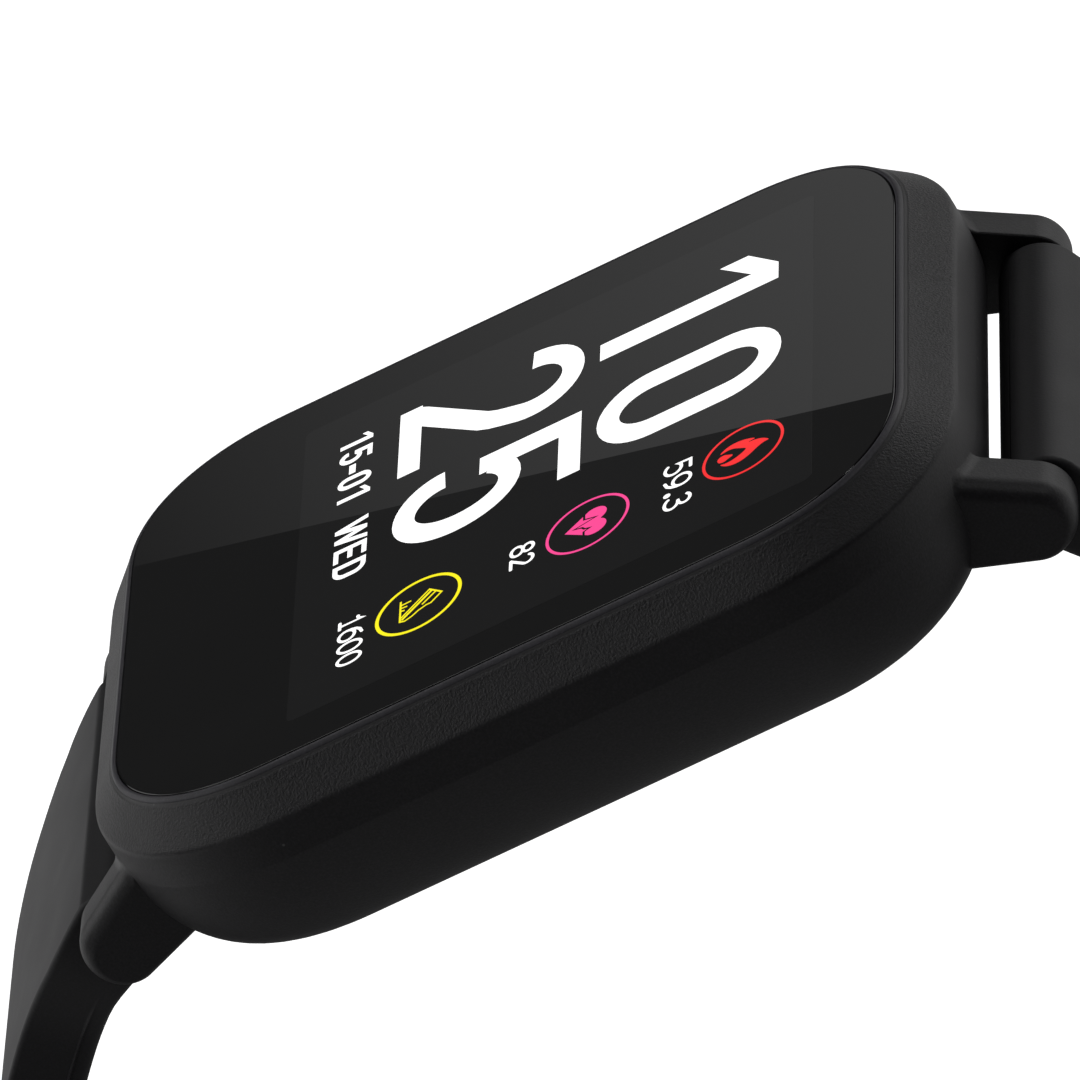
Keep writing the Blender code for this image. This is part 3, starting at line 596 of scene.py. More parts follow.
def lug_outline(x, top_inset, under_inset):
    """(y, z) points round a 12 o'clock lug at x: fillet to the wall, top, tip and underside."""
    first = 90 - degrees(LUG_TOP_SLOPE)
    last = -90 - degrees(LUG_UNDER_SLOPE)
    steps = 30
    tip = []
    for i in range(steps + 1):
        inset = top_inset + (under_inset - top_inset) * ease(i / steps)
        angle = radians(first + (last - first) * i / steps)
        radius = LUG_TIP_RADIUS - inset
        tip.append((LUG_TIP_Y + radius * cos(angle), LUG_TIP_Z + radius * sin(angle)))
    wall = wall_y(x) - 0.03
    run = (tip[0][0] + LUG_FILLET * sin(LUG_TOP_SLOPE) - wall - LUG_FILLET) / cos(LUG_TOP_SLOPE)
    centre_z = tip[0][1] + LUG_FILLET * cos(LUG_TOP_SLOPE) + run * sin(LUG_TOP_SLOPE)
    fillet = arc((wall + LUG_FILLET, centre_z), LUG_FILLET, 180, 270 - degrees(LUG_TOP_SLOPE), 8)
    under_y, under_z = tip[-1]
    under_root = under_z + (under_y - LUG_ROOT_Y) * tan(LUG_UNDER_SLOPE)
    top = [between(fillet[-1], tip[0], share) for share in (0.25, 0.5, 0.75)]
    return [(LUG_ROOT_Y, centre_z)] + fillet + top + tip + [(LUG_ROOT_Y, under_root)]


def make_lug(side_x, side_y):
    """A lug, from the rounded edge of its inner face out to its rounded outer side."""
    stations = [
        (LUG_INNER, 0.15, 0.15), (LUG_INNER + 0.03, 0.07, 0.07), (LUG_INNER + 0.08, 0.02, 0.02),
        (LUG_INNER + 0.16, 0.0, 0.0), (LUG_INNER + 1.0, 0.0, 0.0),
    ]
    edge = 0.95
    steps = 9
    for i in range(steps + 1):
        angle = pi / 2 * i / steps
        drop = 1 - cos(angle)
        stations.append((LUG_OUTER - edge + edge * sin(angle), 0.8 * drop, 0.34 * drop))
    return loft("lug", [
        [(side_x * x, side_y * y, z) for y, z in lug_outline(x, top, under)]
        for x, top, under in stations
    ])


def glass_row(outward, depth):
    """plan_row's sizes for a row outward from the glass's edge and depth below its top."""
    corner = GLASS_CORNER + outward * (CASE_CORNER - GLASS_CORNER) / (CASE_HALF_X - GLASS_HALF_X)
    return GLASS_HALF_X + outward, GLASS_HALF_Y + outward, corner, GLASS_TOP - depth


def make_rim():
    """The smooth lip round the glass, inside the grainy bezel. Its black plastic is painted a lighter
    grey, a painted highlight for the light the lip catches.
    """
    profile = (
        (GLASS_GAP, 0.6), (GLASS_GAP, 0.07), (GLASS_GAP + 0.01, 0.04), (GLASS_GAP + 0.03, 0.02),
        (0.11, 0.01), (0.16, 0.018), (0.21, 0.04), (0.26, 0.075), (0.30, 0.11), (0.33, 0.145),
        (0.35, 0.175), (0.355, 0.6),
    )
    rim = loft("glass_rim", [plan_row(*glass_row(*place)) for place in profile], ring=True)
    # Painted highlight: a lighter, slightly violet copy of the case's black stands in for the light
    # along the lip.
    lip_highlight = moulded("rim_painted_highlight", (0.040, 0.038, 0.046), 0.45, 0.13, 0.001, 0.4)
    settle(rim, "watch_case", "case_plastic", sharp=28, finish=lip_highlight)


def corners(x, y):
    """The four places at x and y either side of the middle."""
    return [(side_x * x, side_y * y) for side_y in (-1, 1) for side_x in (-1, 1)]


def make_case():
    boss_radius = 1.4
    thread_radius = 0.56
    tip_hole_radius = 0.46
    case = loft("case_shell", case_rows(), ring=True)
    sides = [(side_x, side_y) for side_x in (-1, 1) for side_y in (-1, 1)]
    for side_x, side_y in sides:
        join(case, make_lug(side_x, side_y))
    for x, y in corners(SCREW_X, SCREW_Y):
        join(case, rod("boss", (x, y, 0), 3.0, 4.6, boss_radius))
    for x, y in corners(SCREW_X, SCREW_Y):
        carve(case, rod("boss_hole", (x, y, 0), 2.0, 4.3, thread_radius))
    for side_x, side_y in sides:
        low, high = sorted((side_x * (LUG_INNER - 1), side_x * (LUG_INNER + 1.5)))
        carve(case, rod("bar_hole", (0, side_y * BAR_Y, BAR_Z), low, high, tip_hole_radius, "X"))
    settle(case, "watch_case", "case_plastic", ["case_body"], 24)


# ---- glass and picture ----


def make_glass():
    rows = [(0.1, GLASS_LOW.z), (0.0, GLASS_LOW.z + 0.1), (0.0, GLASS_TOP - 0.1)]
    edge = 0.05
    drop = 0.035
    rows += arc((edge, GLASS_TOP - drop), (-edge, drop), 0, 90, 5)[1:]
    rows += [(edge + 0.05, GLASS_TOP), (edge + 1.0, GLASS_TOP)]
    glass = loft("glass_plate", [
        plan_row(GLASS_HALF_X - inset, GLASS_HALF_Y - inset, GLASS_CORNER - inset, z)
        for inset, z in rows
    ])
    settle(glass, "watch_case", "cover_glass", ["cover_glass"], 20)


PICTURE_LOW = GLASS_TOP - 0.01
PICTURE_HIGH = GLASS_TOP + 0.012
ROUND_STROKE = 0.155
LARGE = (1.43, 1.06)
SMALL = (0.30, 0.235)
WIDER = (0.31, 0.235)

# Each reading's name, its stroke across and up (None for round-ended writing), and its letters
# with their left, right, lowest and highest edges. A point has its middle and radius instead.
READINGS = (
    ("hour_digits", LARGE, (("1", -9.80, -6.54, 4.33, 12.87), ("0", -3.36, 2.22, 4.28, 13.05))),
    ("minute_digits", LARGE, (("2", -10.20, -4.52, -5.39, 3.57), ("5", -3.10, 2.65, -5.50, 3.52))),
    ("date_digits", SMALL, (
        ("1", -10.21, -9.51, -8.31, -6.72), ("5", -9.03, -8.01, -8.32, -6.72),
        ("-", -7.77, -7.02, -7.81, -7.50), ("0", -6.77, -5.74, -8.33, -6.70),
        ("1", -5.42, -4.69, -8.31, -6.72),
    )),
    ("weekday", WIDER, (
        ("W", -2.64, -0.68, -8.31, -6.72), ("E", -0.48, 0.64, -8.31, -6.72),
        ("D", 0.97, 2.19, -8.31, -6.72),
    )),
    ("energy_reading", None, (
        ("5", 5.86, 6.85, 7.56, 8.92), ("9", 6.99, 8.04, 7.56, 8.93), (".", (8.43, 7.75), 0.17),
        ("3", 8.82, 9.83, 7.56, 8.93),
    )),
    ("pulse_reading", None, (("8", 6.67, 7.58, 0.30, 1.51), ("2", 7.67, 8.57, 0.31, 1.51))),
    ("step_reading", None, (
        ("1", 6.04, 6.82, -7.86, -6.63), ("6", 7.00, 7.98, -7.88, -6.62),
        ("0", 8.05, 9.01, -7.88, -6.62), ("0", 9.10, 10.06, -7.88, -6.62),
    )),
)


def strip_sides(points, width, closed):
    """The points each side of a path of even width, mitred at its corners."""
    left = []
    right = []
    count = len(points)
    for i, point in enumerate(points):
        here = Vector(point)
        before = Vector(points[i - 1]) if closed or i > 0 else None
        after = Vector(points[(i + 1) % count]) if closed or i < count - 1 else None
        first = (here - before).normalized() if before is not None else (after - here).normalized()
        second = (after - here).normalized() if after is not None else first
        normal = Vector((-first.y - second.y, first.x + second.x)).normalized()
        reach = width / 2 / max(normal.dot(Vector((-first.y, first.x))), 0.4)
        left.append(here + normal * reach)
        right.append(here - normal * reach)
    return left, right


def ribbon(points, stroke, closed=False):
    """A raised line of the picture. stroke is its width, or how wide it is across and up."""
    across, up = stroke if isinstance(stroke, tuple) else (stroke, stroke)
    even = [(x / across, y / up) for x, y in points]
    left, right = strip_sides(even, 1.0, closed)
    rows = []
    for a, b in zip(left, right):
        section = ((a, PICTURE_LOW), (b, PICTURE_LOW), (b, PICTURE_HIGH), (a, PICTURE_HIGH))
        rows.append([(point.x * across, point.y * up, z) for point, z in section])
    return loft("ribbon", rows, ring=closed)


def patch(points):
    """A raised area of the picture inside (x, y) points."""
    return prism("patch", points, PICTURE_LOW, PICTURE_HIGH)


def merged(pieces):
    """One object from several that may overlap."""
    whole = pieces[0]
    for other in pieces[1:]:
        join(whole, other)
    return whole


def box_patch(left, right, low, high):
    """A rectangle as one of a character's shapes."""
    return ("patch", [(left, low), (right, low), (right, high), (left, high)])


def upright_shapes(letter, sx, sy):
    """A character's shapes in a unit box, with strokes sx wide and sy high."""
    reach = 0.5 - sx / 2
    if letter == "0":
        end = min(reach / sx + 0.55, (1 / sy - 1) / 2) * sy
        top = arc((0.5, 1 - sy / 2 - end), (reach, end), 0, 180, 20)
        bottom = arc((0.5, sy / 2 + end), (reach, end), 180, 360, 20)
        return [("loop", top + bottom)]
    if letter == "1":
        stem = 1 - sx
        flag = [(stem, 1.0), (stem + 0.03, 1.0), (stem + 0.03, 0.86), (0.0, 0.67), (0.0, 0.83)]
        return [box_patch(stem, 1, 0, 1), ("patch", flag)]
    if letter == "2":
        bowl = arc((0.5, 0.72), (reach, 0.28 - sy / 2), 180, -24, 24)
        bowl += [(0.805, 0.57), (0.765, 0.51), (0.71, 0.455), (0.17, sy), (0.12, sy * 0.66)]
        return [("line", bowl), box_patch(0, 1, 0, sy)]
    if letter == "5":
        bowl = arc((0.5, 0.34), (reach, 0.343 - sy / 2), 138, 0, 14)
        bowl += arc((0.5, 0.34), (reach, 0.34 - sy / 2), 0, -90, 12)[1:]
        bowl += arc((0.5, 0.275), (reach, 0.275 - sy / 2), -90, -180, 10)[1:]
        stem = 0.05
        return [box_patch(stem, 0.96, 1 - sy, 1), box_patch(stem, stem + sx, 0.46, 1), ("line", bowl)]
    if letter == "-":
        return [box_patch(0, 1, 0, 1)]
    if letter == "W":
        half = sx / 2
        feet = ((half, 1), (0.28, 0), (0.5, 0.98), (0.72, 0), (1 - half, 1))
        return [
            ("patch", [(x1 - half, y1), (x1 + half, y1), (x2 + half, y2), (x2 - half, y2)])
            for (x1, y1), (x2, y2) in zip(feet, feet[1:])
        ]
    if letter == "E":
        rungs = ((1, 0, sy), (0.9, 0.5 - sy / 2, 0.5 + sy / 2), (1, 1 - sy, 1))
        return [box_patch(0, sx, 0, 1)] + [box_patch(0, *rung) for rung in rungs]
    bow = arc((1 - sx / 2 - 0.42, 1 - sy / 2 - 0.3), (0.42, 0.3), 90, 0, 10)
    bow += [(x, 1 - y) for x, y in reversed(bow)]
    return [("loop", [(sx / 2, sy / 2), (sx / 2, 1 - sy / 2)] + bow)]


def round_shapes(letter):
    """A character's lines in a unit box that their middles fill, for round-ended writing."""
    if letter == "0":
        return [("loop", arc((0.5, 0.5), 0.5, 0, 350, 35))]
    if letter == "1":
        return [("line", [(0.06, 0), (0.94, 0)]),
                ("line", [(0.56, 0), (0.56, 1), (0.40, 0.83), (0.10, 0.80)])]
    if letter == "2":
        bowl = arc((0.5, 0.72), (0.46, 0.28), 155, -25, 14)
        return [("line", bowl + [(0.04, 0)]), ("line", [(0.02, 0), (1, 0)])]
    if letter == "3":
        return [("line", arc((0.45, 0.77), (0.42, 0.23), 152, -82, 14)),
                ("line", [(0.36, 0.53)] + arc((0.45, 0.265), (0.55, 0.265), 84, -152, 16))]
    if letter == "5":
        bowl = arc((0.45, 0.32), (0.55, 0.32), 122, -138, 20)
        return [("line", [(0.88, 1), (0.13, 1), (0.08, 0.53)] + bowl)]
    if letter == "8":
        return [("loop", arc((0.5, 0.765), (0.42, 0.235), 0, 345, 23)),
                ("loop", arc((0.5, 0.265), (0.5, 0.265), 0, 345, 23))]
    loop = arc((0.5, 0.655), (0.5, 0.345), 0, 345, 23)
    tail = [(1.0, 0.66), (0.985, 0.46), (0.88, 0.26), (0.66, 0.09), (0.30, 0.0)]
    if letter == "6":
        loop = [(1 - x, 1 - y) for x, y in loop]
        tail = [(1 - x, 1 - y) for x, y in tail]
    return [("loop", loop), ("line", tail)]


def upright_letter(letter, left, right, low, high, stroke):
    """A square-ended character that fills the box. stroke is how wide it is across and up."""
    wide = right - left
    tall = high - low
    made = []
    for kind, points in upright_shapes(letter, stroke[0] / wide, stroke[1] / tall):
        placed = [(left + x * wide, low + y * tall) for x, y in points]
        made.append(patch(placed) if kind == "patch" else ribbon(placed, stroke, kind == "loop"))
    return merged(made)


def disc(place, radius):
    return patch(arc(place, radius, 0, 340, 17))


def round_letter(letter, left, right, low, high):
    """A round-ended character that fills the box."""
    half = ROUND_STROKE / 2
    wide = right - left - 2 * half
    tall = high - low - 2 * half
    made = []
    for kind, points in round_shapes(letter):
        placed = [(left + half + x * wide, low + half + y * tall) for x, y in points]
        made.append(ribbon(placed, ROUND_STROKE, kind == "loop"))
        if kind == "line":
            made += [disc(placed[0], half), disc(placed[-1], half)]
    return merged(made)


def smooth_loop(points, rounds=2):
    """A closed outline with its corners cut, which rounds them."""
    for _ in range(rounds):
        cut = []
        for i, point in enumerate(points):
            here = Vector(point)
            after = Vector(points[(i + 1) % len(points)])
            cut += [tuple(here.lerp(after, 0.25)), tuple(here.lerp(after, 0.75))]
        points = cut
    return points


def icon_ring(centre, radius, stroke):
    middle = (radius[0] - stroke / 2, radius[1] - stroke / 2)
    return ribbon(arc(centre, middle, 0, 354, 59), stroke, True)


def flame_icon():
    flame = [
        (7.60, 12.56), (7.61, 12.28), (7.80, 11.99), (8.15, 11.62), (8.36, 11.25), (8.39, 10.88),
        (8.24, 10.50), (7.88, 10.20), (7.99, 10.46), (7.98, 10.74), (7.86, 11.06), (7.58, 11.44),
        (7.42, 11.47), (7.18, 11.14), (6.98, 10.88), (6.92, 10.60), (7.06, 10.18), (6.72, 10.46),
        (6.57, 10.84), (6.60, 11.26), (6.76, 11.66), (6.95, 11.92), (6.97, 11.66), (7.06, 11.52),
        (7.05, 11.84), (7.22, 12.22), (7.42, 12.42),
    ]
    drop = [(7.50, 10.90)] + arc((7.485, 10.38), (0.28, 0.27), 50, -230, 12)
    ring = icon_ring((7.49, 11.32), (2.01, 1.92), 0.14)
    return gather("energy_icon", [ring, patch(smooth_loop(flame)), patch(smooth_loop(drop, 1))])


def heart_icon():
    middle = 7.58
    lobe = arc((8.10, 4.33), 0.57, 148, -30, 14)
    heart = patch(lobe + [(middle, 2.93)] + [(2 * middle - x, y) for x, y in reversed(lobe)])
    beat = [
        (6.2, 3.83), (7.09, 3.83), (7.29, 4.42), (7.555, 3.36), (7.70, 3.74), (7.90, 3.86),
        (8.00, 4.12), (8.12, 3.83), (9.0, 3.83),
    ]
    line = ribbon(beat, 0.115)
    for step in (
        Matrix.Translation((0, 0, -GLASS_TOP)),
        Matrix.Diagonal((1, 1, 4, 1)),
        Matrix.Translation((0, 0, GLASS_TOP)),
    ):
        line.data.transform(step)
    carve(heart, line)
    return gather("pulse_icon", [icon_ring((7.585, 4.0), (2.07, 1.98), 0.14), heart])


def shoe_icon():
    outline = [
        (6.80, -3.50), (7.50, -2.90), (8.04, -3.40), (8.04, -3.62), (8.20, -3.98), (8.46, -4.30),
        (8.60, -4.62), (8.50, -4.86), (8.24, -4.86),
    ]
    lines = [ribbon(outline, 0.09, closed=True), ribbon([(6.99, -3.40), (8.40, -4.78)], 0.13)]
    for points in (
        [(7.22, -3.20), (7.84, -3.82)],
        [(6.76, -4.86), (8.40, -4.86)],
        [(7.07, -4.36), (7.10, -4.86)],
        [(7.38, -4.54), (7.34, -4.86)],
        [(7.64, -4.66), (7.58, -4.86)],
    ):
        lines.append(ribbon(points, 0.09))
    shoe = merged(lines)
    return gather("step_icon", [icon_ring((7.68, -4.0), (2.12, 2.06), 0.17), shoe])


def make_picture():
    """The watch face: a faintly lit square with the time, the date and three readings."""
    square = rounded_outline(LIT_HALF_X, (LIT_HIGH - LIT_LOW) / 2, 0.4, 2.0, 6, 4)
    middle = (LIT_HIGH + LIT_LOW) / 2
    lit = prism("lit_area", [(x, y + middle) for x, y in square], PICTURE_LOW, GLASS_TOP + 0.004)
    ground = polished("picture_ground", (0.0065, 0.0065, 0.007), 0.0, (1.0, 1.0, 1.0), 0.0042)
    settle(lit, "watch_case", "display_stack", finish=ground)
    white = polished("picture_white", (0.8, 0.8, 0.8), 0.05, (1.0, 1.0, 1.0), 1.0)
    for name, stroke, letters in READINGS:
        made = []
        for letter, *box in letters:
            if letter == ".":
                made.append(disc(*box))
            elif stroke:
                made.append(upright_letter(letter, *box, stroke))
            else:
                made.append(round_letter(letter, *box))
        settle(gather(name, made), "watch_case", "display_stack", finish=white)
    for icon, hue, colour, glow in (
        (flame_icon(), "red", (0.4, 0.02, 0.02), (0.84, 0.025, 0.028)),
        (heart_icon(), "pink", (0.4, 0.05, 0.15), (0.88, 0.058, 0.27)),
        (shoe_icon(), "yellow", (0.5, 0.5, 0.02), (0.89, 0.77, 0.008)),
    ):
        finish = polished("picture_" + hue, colour, 0.05, glow, 1.0)
        settle(icon, "watch_case", "display_stack", finish=finish)


# ---- back of the watch ----


def make_rear_cover():
    outline = rounded_outline(COVER_HIGH.x, COVER_HIGH.y, COVER_CORNER)
    bottom = COVER_LOW.z
    face = CASE_BACK
    lens = LENS_HIGH.x
    pocket = lens - 0.05
    window = lens - 0.7
    rings = [
        (pocket, COVER_HIGH.z), (pocket, 1.9), (pocket, 1.45), (window, 1.45), (window, 1.1),
        (window, 0.76), (lens + 0.06, 0.76), (lens + 0.06, bottom + 0.1), (lens + 0.16, bottom),
        (lens + 0.5, bottom), (8.3, bottom), (8.62, bottom + 0.03), (8.84, bottom + 0.14),
        (9.1, bottom + 0.38), (9.5, bottom + 0.76), (9.78, bottom + 1.02), (9.95, bottom + 1.12),
        (10.2, face), (10.5, face),
    ]
    rows = [circle_row(outline, radius, z) for radius, z in rings]
    for inset, z in (
        (2.2, face), (0.5, face), (0.2, face), (0.06, face + 0.05), (0.0, face + 0.18), (0.0, 1.9),
        (0.0, COVER_HIGH.z),
    ):
        corner = COVER_CORNER - min(inset, 1.6)
        rows.append(plan_row(COVER_HIGH.x - inset, COVER_HIGH.y - inset, corner, z))
    cover = loft("back_cover", rows, ring=True)
    for x, y in corners(SCREW_X, SCREW_Y):
        well = [
            (0.5, 0), (0.5, 1.5), (face + 0.02, 1.22), (face + 0.12, 1.12), (1.85, 1.12), (1.85, 0),
        ]
        carve(cover, turned("head_well", well, (x, y, 0)))
        carve(cover, rod("shank_hole", (x, y, 0), 0.5, 4.0, 0.6))
    for x in (-CONTACT_X, CONTACT_X):
        carve(cover, rod("pin_hole", (x, CONTACT_Y, 0), 0.0, 4.0, 0.76))
    settle(cover, "watch_case", "back_plastic", ["rear_cover"], 24)


def make_back_pieces():
    lens = LENS_HIGH.x
    profile = [
        (LENS_HIGH.z, 0), (LENS_HIGH.z, lens - 0.05), (LENS_HIGH.z - 0.05, lens), (0.16, lens),
        (0.06, lens - 0.04), (0.0, lens - 0.14), (0.0, lens - 0.4), (0.0, 0),
    ]
    lens_window = turned("lens_window", profile, (0, 0, 0), sides=96)
    settle(lens_window, "watch_case", "sensor_window", ["sensor_lens"], 20)
    glow = polished("led_green", (0.02, 0.30, 0.10), 0.1, (0.05, 0.9, 0.25), 0.08)
    diode = polished("diode_amber", (0.10, 0.045, 0.02), 0.15)
    for name, x, half_x, half_y, finish in (
        ("led_window_left", -2.7, 0.55, 0.8, glow),
        ("led_window_right", 2.7, 0.55, 0.8, glow),
        ("diode_window", 0.0, 1.1, 1.1, diode),
    ):
        outline = [(x + px, py) for px, py in rounded_outline(half_x, half_y, 0.3, 2.0, 5, 3)]
        inlay = prism(name, outline, -0.008, 0.05)
        settle(inlay, "watch_case", "sensor_window", finish=finish)
    for side, x in (("negative", -CONTACT_X), ("positive", CONTACT_X)):
        profile = [(2.35, 0), (2.35, 0.7), (1.3, 0.7), (1.23, 0.66), (1.2, 0.56), (1.2, 0.0)]
        pin = turned("contact_" + side, profile, (x, CONTACT_Y, 0), sides=48)
        settle(pin, "watch_case", "gold_contact", ["charging_contact_" + side])
    for index, (x, y) in enumerate(corners(SCREW_X, SCREW_Y), start=1):
        profile = [
            (1.4, 0), (1.4, 0.82), (1.43, 0.93), (1.5, 0.985), (1.6, 1.0), (1.8, 1.0),
            (1.8, 0.5), (3.95, 0.5), (4.1, 0.35), (4.1, 0),
        ]
        screw = turned(f"cover_screw_{index}", profile, (x, y, 0), sides=48)
        for turn in (0, 90):
            outline = [(-0.62, -0.12), (0.62, -0.12), (0.62, 0.12), (-0.62, 0.12)]
            slot = prism("slot", outline, 1.0, 1.58)
            spin = Matrix.Rotation(radians(turn + 20 * index), 4, "Z")
            slot.data.transform(Matrix.Translation((x, y, 0)) @ spin)
            carve(screw, slot)
        settle(screw, "watch_case", "steel", [f"rear_screw_{index}"])


# ---- spring bars ----


COIL_REACH = 6.3
TIP_PROFILE = (
    (6.6, 0), (6.6, 0.38), (6.66, 0.42), (9.5, 0.42), (9.5, 0.6), (9.54, 0.66), (9.81, 0.66),
    (9.85, 0.6), (9.85, 0.38), (10.7, 0.38), (10.9, 0.32), (11.0, 0.2), (11.0, 0),
)


def make_spring_bars():
    half = BAR_HIGH.x
    radius = BAR_HIGH.z - BAR_Z
    for clock, side in (("12", 1), ("6", -1)):
        centre = (0, side * BAR_Y, BAR_Z)
        profile = [(-half, 0.52), (-half, 0.66), (-half + 0.06, 0.72), (-half + 0.2, radius)]
        profile += [(-along, r) for along, r in reversed(profile)]
        tube = turned("bar_tube_" + clock, profile, centre, "X", 48)
        settle(tube, "watch_case", "steel", ["spring_bar_" + clock])
        for label, way in (("left", -1), ("right", 1)):
            profile = [(way * along, r) for along, r in TIP_PROFILE]
            tip = turned(f"tip_pin_{clock}_{label}", profile, centre, "X", 40)
            settle(tip, f"tip_{clock}_{label}", "steel", [f"bar_tip_{clock}_{label}"])
            coil = make_coil(f"coil_{clock}_{label}", centre, way)
            settle(coil, "watch_case", "steel", [f"bar_spring_{clock}"], 60)
            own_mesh(coil)


def make_coil(name, centre, way):
    """Half of the spring in a bar, from the middle out, as a round wire."""
    turns = 7
    sides = 8
    wire = 0.1
    steps = turns * 20
    rows = []
    for i in range(steps + 1):
        angle = 2 * pi * turns * i / steps
        middle = Vector((way * COIL_REACH * i / steps, 0.3 * cos(angle), 0.3 * sin(angle)))
        outward = Vector((0, cos(angle), sin(angle)))
        ring = []
        for k in range(sides):
            turn = 2 * pi * k / sides
            offset = Vector((cos(turn), 0, 0)) + outward * sin(turn)
            ring.append(middle + offset * wire + Vector(centre))
        rows.append(ring)
    return loft(name, rows)


# ---- strap ----


def read_table(table, distance):
    """The value at distance along a table of (distance, value), straight between entries."""
    for (start, first), (end, last) in zip(table, table[1:]):
        if distance <= end:
            return first + (last - first) * max(distance - start, 0) / (end - start)
    return table[-1][1]


def strap_path(headings, length, steps):
    """(distance, y, z, heading) along the middle of a strap on the 12 o'clock side."""
    heading = radians(headings[0][1])
    y = BAR_Y + STRAP_RISE * sin(heading)
    z = BAR_Z + STRAP_RISE * cos(heading)
    path = [(0.0, y, z, heading)]
    fine = 4
    stride = length / (steps * fine)
    for i in range(steps * fine):
        middle = radians(read_table(headings, (i + 0.5) * stride))
        y += stride * cos(middle)
        z -= stride * sin(middle)
        if (i + 1) % fine == 0:
            distance = (i + 1) * stride
            path.append((distance, y, z, radians(read_table(headings, distance))))
    return path


def on_strap(station, x, rise, along=0.0, side=1):
    """World point at x across, rise above the strap's middle and along past a station."""
    _, y, z, heading = station
    return (
        x,
        side * (y + rise * sin(heading) + along * cos(heading)),
        z + rise * cos(heading) - along * sin(heading),
    )


def station_at(path, distance):
    for before, after in zip(path, path[1:]):
        if after[0] >= distance:
            return between(before, after, (distance - before[0]) / (after[0] - before[0]))
    return path[-1]


def strap_half(distance):
    return STRAP_LUG_HALF + (STRAP_HALF - STRAP_LUG_HALF) * ease((distance - 1.5) / 5.5)


def strap_section(half, high, low, seam):
    """(x, rise) points round a strap. Below the seam line the side steps in by seam."""
    round_top = min(0.26, (high - low) * 0.48)
    round_low = min(0.42, (high - low) * 0.3)
    across = [half * k / 6 for k in range(6)]
    top = [(x, high) for x in across]
    corner = arc((half - round_top, high - round_top), round_top, 90, 0, 6)
    line = low + min(0.78, (high - low) * 0.36)
    bead = seam * 0.5
    step = [
        (half, line + 0.18), (half, line + 0.12), (half + bead, line + 0.05), (half + bead, line),
        (half - seam, line - 0.05),
    ]
    lower = arc((half - seam - round_low, low + round_low), round_low, 0, -90, 5)
    right = top + corner + step + lower + [(x, low) for x in reversed(across[1:])]
    left = [(-x, rise) for x, rise in reversed(right[1:])]
    return right + [(0.0, low)] + left


def ridge_rise(along, heading):
    """How high the strap's top stands near a flat that leaves the barrel level with the glass.

    The flat ends in a soft ridge, and the outer face runs down from there.
    """
    flat_end = -0.22
    tangent = -BARREL_RADIUS * sin(heading)
    top = BARREL_RADIUS * cos(heading) - STRAP_RISE
    if along <= tangent:
        return sqrt(BARREL_RADIUS**2 - along**2) - STRAP_RISE
    lean = tan(heading - FLAT_LEAN)
    ridge = top + (flat_end - tangent) * lean
    flat = top + (along - tangent) * lean
    face = ridge - (along - flat_end) * (ridge - THICKNESSES[0][1] / 2) / (RIDGE_END - flat_end)
    softness = 0.11
    return (flat + face - sqrt((flat - face) ** 2 + softness**2)) / 2


def strap_rows(path, length, side, tip_length, eye):
    """Rows from the round end at the spring bar to the tip, or to the buckle's eye."""
    rows = []
    nose = 14
    start = path[0]
    ridged = side < 0
    backs = [BARREL_RADIUS * sin(pi / 2 * (1 - i / nose) * ROUND_SHARE) for i in range(nose)]
    if ridged:
        backs = [back for back in backs if back > 0.75]
        backs += [0.66, 0.55, 0.45, 0.37, 0.31, 0.26, 0.22, 0.18, 0.13, 0.07]
    for back in backs:
        reach = sqrt(BARREL_RADIUS**2 - back**2)
        high = ridge_rise(-back, start[3]) if ridged else reach - STRAP_RISE
        section = strap_section(STRAP_LUG_HALF - 0.02, high, -reach - STRAP_RISE, 0.0)
        rows.append([on_strap(start, x, rise, -back, side) for x, rise in section])
    stations = list(path)
    if tip_length:
        closing = (0.5, 0.35, 0.22, 0.12, 0.05, 0.01, 0.0)
        stations = path[:-1] + [station_at(path, length - back) for back in closing]
    for station in stations:
        distance = station[0]
        half_thick = read_table(THICKNESSES, distance) / 2
        blend = ease(distance / 4.5)
        high = (BARREL_RADIUS - STRAP_RISE) * (1 - blend) + half_thick * blend
        low = (-BARREL_RADIUS - STRAP_RISE) * (1 - blend) - half_thick * blend
        if ridged and distance < RIDGE_END:
            high = ridge_rise(distance, start[3])
        half = strap_half(distance)
        seam = SEAM_STEP * ease((distance - 3.6) / 1.2)
        if tip_length and distance > length - tip_length:
            into = (distance - (length - tip_length)) / tip_length
            half *= sqrt(max(1 - 0.995 * into**2.2, 0.0))
            seam *= 1 - ease((into - 0.8) / 0.2)
            taper = ease((into - 0.88) / 0.12) * 0.4
            high -= taper
            low += taper
        if eye:
            near = ease((distance - (length - 5.0)) / 3.0)
            half += (EYE_HALF - 0.02 - half) * near
            bulge = ease((distance - (length - 3.0)) / 3.0)
            high += (EYE_RADIUS - high) * bulge
            low += (-EYE_RADIUS - low) * bulge
            seam *= 1 - near
        section = strap_section(half, high, low, seam)
        rows.append([on_strap(station, x, rise, 0.0, side) for x, rise in section])
    if eye:
        for i in range(1, nose + 1):
            angle = pi / 2 * i / nose * ROUND_SHARE
            forward = EYE_RADIUS * sin(angle)
            reach = EYE_RADIUS * cos(angle)
            section = strap_section(EYE_HALF - 0.02, reach, -reach, 0.0)
            rows.append([on_strap(path[-1], x, rise, forward, side) for x, rise in section])
    return rows


def slot_outline(half_long, half_wide):
    """(along, across) points of a slot with round ends."""
    points = []
    for end, start in ((1, -90), (-1, 90)):
        points += arc((end * (half_long - half_wide), 0.0), half_wide, start, start + 180, 12)
    return points


